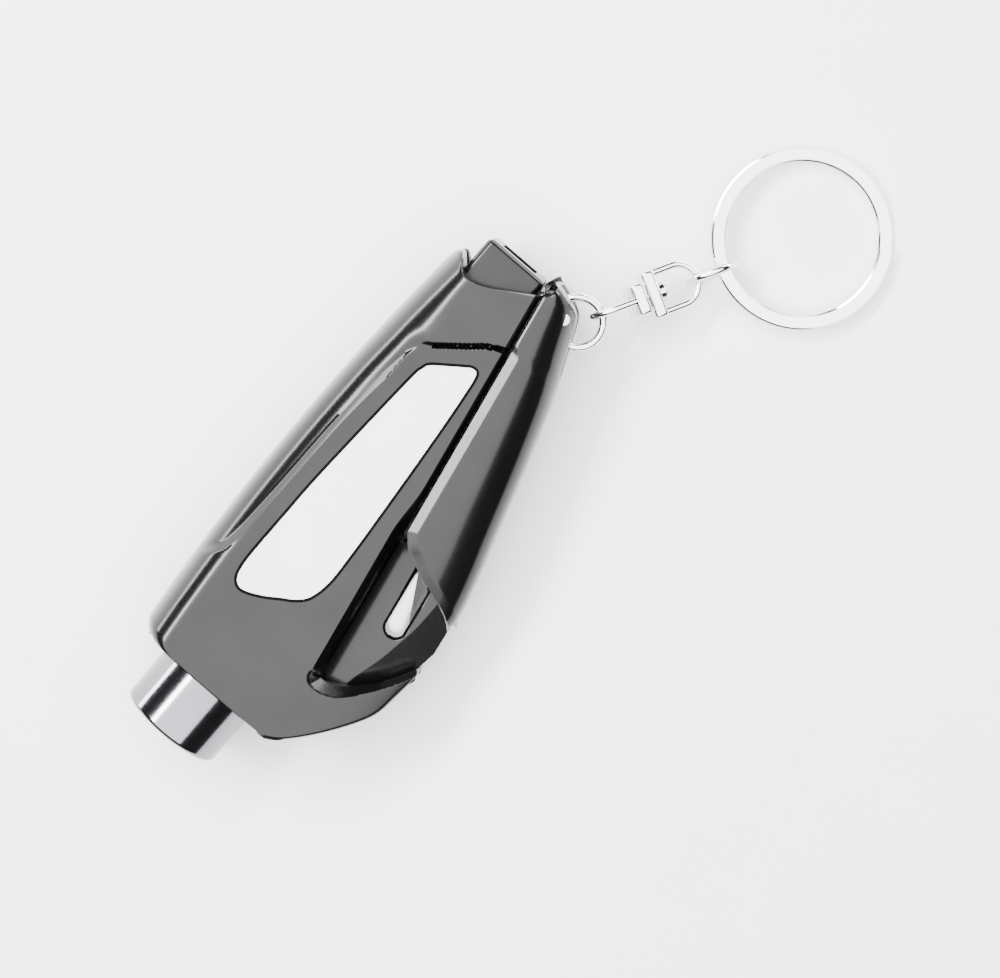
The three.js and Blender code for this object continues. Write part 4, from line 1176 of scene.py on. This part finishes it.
# Each light's name, place and size in metres, and watts. The overhead fills; the strips draw the bright facets.
LIGHTS = (
    ("overhead", (0.0, 0.05, 1.4), (2.4, 2.4), 120.0),
    ("shoulder_strip", (-0.285, 0.0, 0.405), (0.5, 0.08), 6.0),
    ("left_strip", (-0.8, 0.05, 0.09), (0.9, 0.12), 11.0),
    ("tail_strip", (0.0, 0.8, 0.09), (0.9, 0.12), 12.0),
)
LIT_SPOT = Vector((0.005, 0.005, 0.01))


@dataclass
class Studio:
    """The floor, the lights and the camera."""

    lens: float = 135.0
    frame_width: float = 137.4
    tilt: float = 7.0
    heading: float = 49.3
    aim: tuple[float, float, float] = (13.25, 11.4, 9.0)
    sensor: float = 36.0
    surround: float = 0.06

    def floor(self) -> None:
        """Lay the plain pale floor."""
        bm = bmesh.new()
        bmesh.ops.create_grid(bm, x_segments=1, y_segments=1, size=1.5)
        mesh = bpy.data.meshes.new("floor")
        bm.to_mesh(mesh)
        bm.free()
        made = bpy.data.objects.new("floor", mesh)
        bpy.context.scene.collection.objects.link(made)
        sheet = Finish("white_paper_sweep", "#FBFBFB", "#FDFDFD", 0.85, 0.0, Grain.MOULDED, 1.5, 0.05)
        mesh.materials.append(sheet.material())

    def light(self, name: str, spot: Sequence[float], size: Point, power: float) -> None:
        """Hang a soft rectangular light that faces the tool.

        Args:
            name: The light's name.
            spot: Where it hangs, in metres.
            size: Its width and height, in metres.
            power: Its power in watts.
        """
        data = bpy.data.lights.new(name, "AREA")
        data.shape = "RECTANGLE"
        data.size, data.size_y = size
        data.energy = power
        made = bpy.data.objects.new(name, data)
        made.location = spot
        made.rotation_euler = (LIT_SPOT - Vector(spot)).to_track_quat("-Z", "Y").to_euler()
        bpy.context.scene.collection.objects.link(made)

    def lights(self) -> None:
        """Hang the studio's lights and set its dim surround."""
        for row in LIGHTS:
            self.light(*row)
        world = bpy.data.worlds.new("surround")
        world.use_nodes = True
        world.node_tree.nodes["Background"].inputs["Color"].default_value = (1.0, 1.0, 1.0, 1.0)
        world.node_tree.nodes["Background"].inputs["Strength"].default_value = self.surround
        bpy.context.scene.world = world

    def camera(self) -> None:
        """Set the camera at its viewing angle, with a long lens."""
        toward = Vector((0.0, math.sin(math.radians(self.tilt)), math.cos(math.radians(self.tilt))))
        along_tool = (Vector((0, 1, 0)) - toward * toward.y).normalized()
        across_tool = along_tool.cross(toward)
        angle = math.radians(self.heading)
        right = along_tool * math.cos(angle) + across_tool * math.sin(angle)
        up = along_tool * math.sin(angle) - across_tool * math.cos(angle)
        data = bpy.data.cameras.new("camera")
        data.lens = self.lens
        data.sensor_width = self.sensor
        made = bpy.data.objects.new("camera", data)
        distance = self.frame_width * MM * self.lens / self.sensor
        turned = Matrix((right, up, toward)).transposed().to_4x4()
        made.matrix_world = Matrix.Translation(Vector(self.aim) * MM + toward * distance) @ turned
        bpy.context.scene.collection.objects.link(made)
        bpy.context.scene.camera = made

    def build(self) -> None:
        """Set up the whole studio."""
        self.floor()
        self.lights()
        self.camera()


SCREWS = ("screw_1", "screw_2", "screw_3")
KEPT = {
    GROUND_STEEL: ("barrel_liner", "hammer", "ring_pin", *SCREWS),
    SPRING_STEEL: ("main_spring", "return_spring"),
    TURNED_BRASS: ("spring_seat",),
}


def dress_kept(nodes: dict[str, Object]) -> None:
    """Give each kept CAD node its finish.

    Args:
        nodes: The frame's nodes by name.
    """
    for finish, names in KEPT.items():
        for name in names:
            for slot in nodes[name].material_slots:
                slot.material = finish.material()
            LOG.info("%s keeps its CAD shape", name)


def screw_wells(datum: Datum) -> tuple[tuple[float, float, float], ...]:
    """Return where the screw heads sit in the back, and how deep their wells go."""
    wells = []
    head = 1.2
    for name in SCREWS:
        low, high = datum.corners(name)
        wells.append(((low[0] + high[0]) / 2.0, (low[1] + high[1]) / 2.0, -low[2] - head))
    return tuple(wells)


def main() -> None:
    """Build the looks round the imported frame, then the studio."""
    logging.basicConfig(level=logging.INFO, format="%(message)s")
    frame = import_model()
    datum = Datum.from_frame()
    plan = Plan()
    joints = {joint["name"]: joint for joint in frame["record"]["behaviour"]["joints"]}
    HousingHalf(True, plan).build(datum)
    HousingHalf(False, plan, wells=screw_wells(datum)).build(datum)
    Guard(plan).build(datum)
    Labels(plan, datum).build()
    Punch(datum).build()
    TailPlug(datum).build()
    Blade(plan, datum).build()
    Chain(joints, datum).build()
    dress_kept(frame["nodes"])
    Studio().build()


if __name__ == "__main__":
    main()
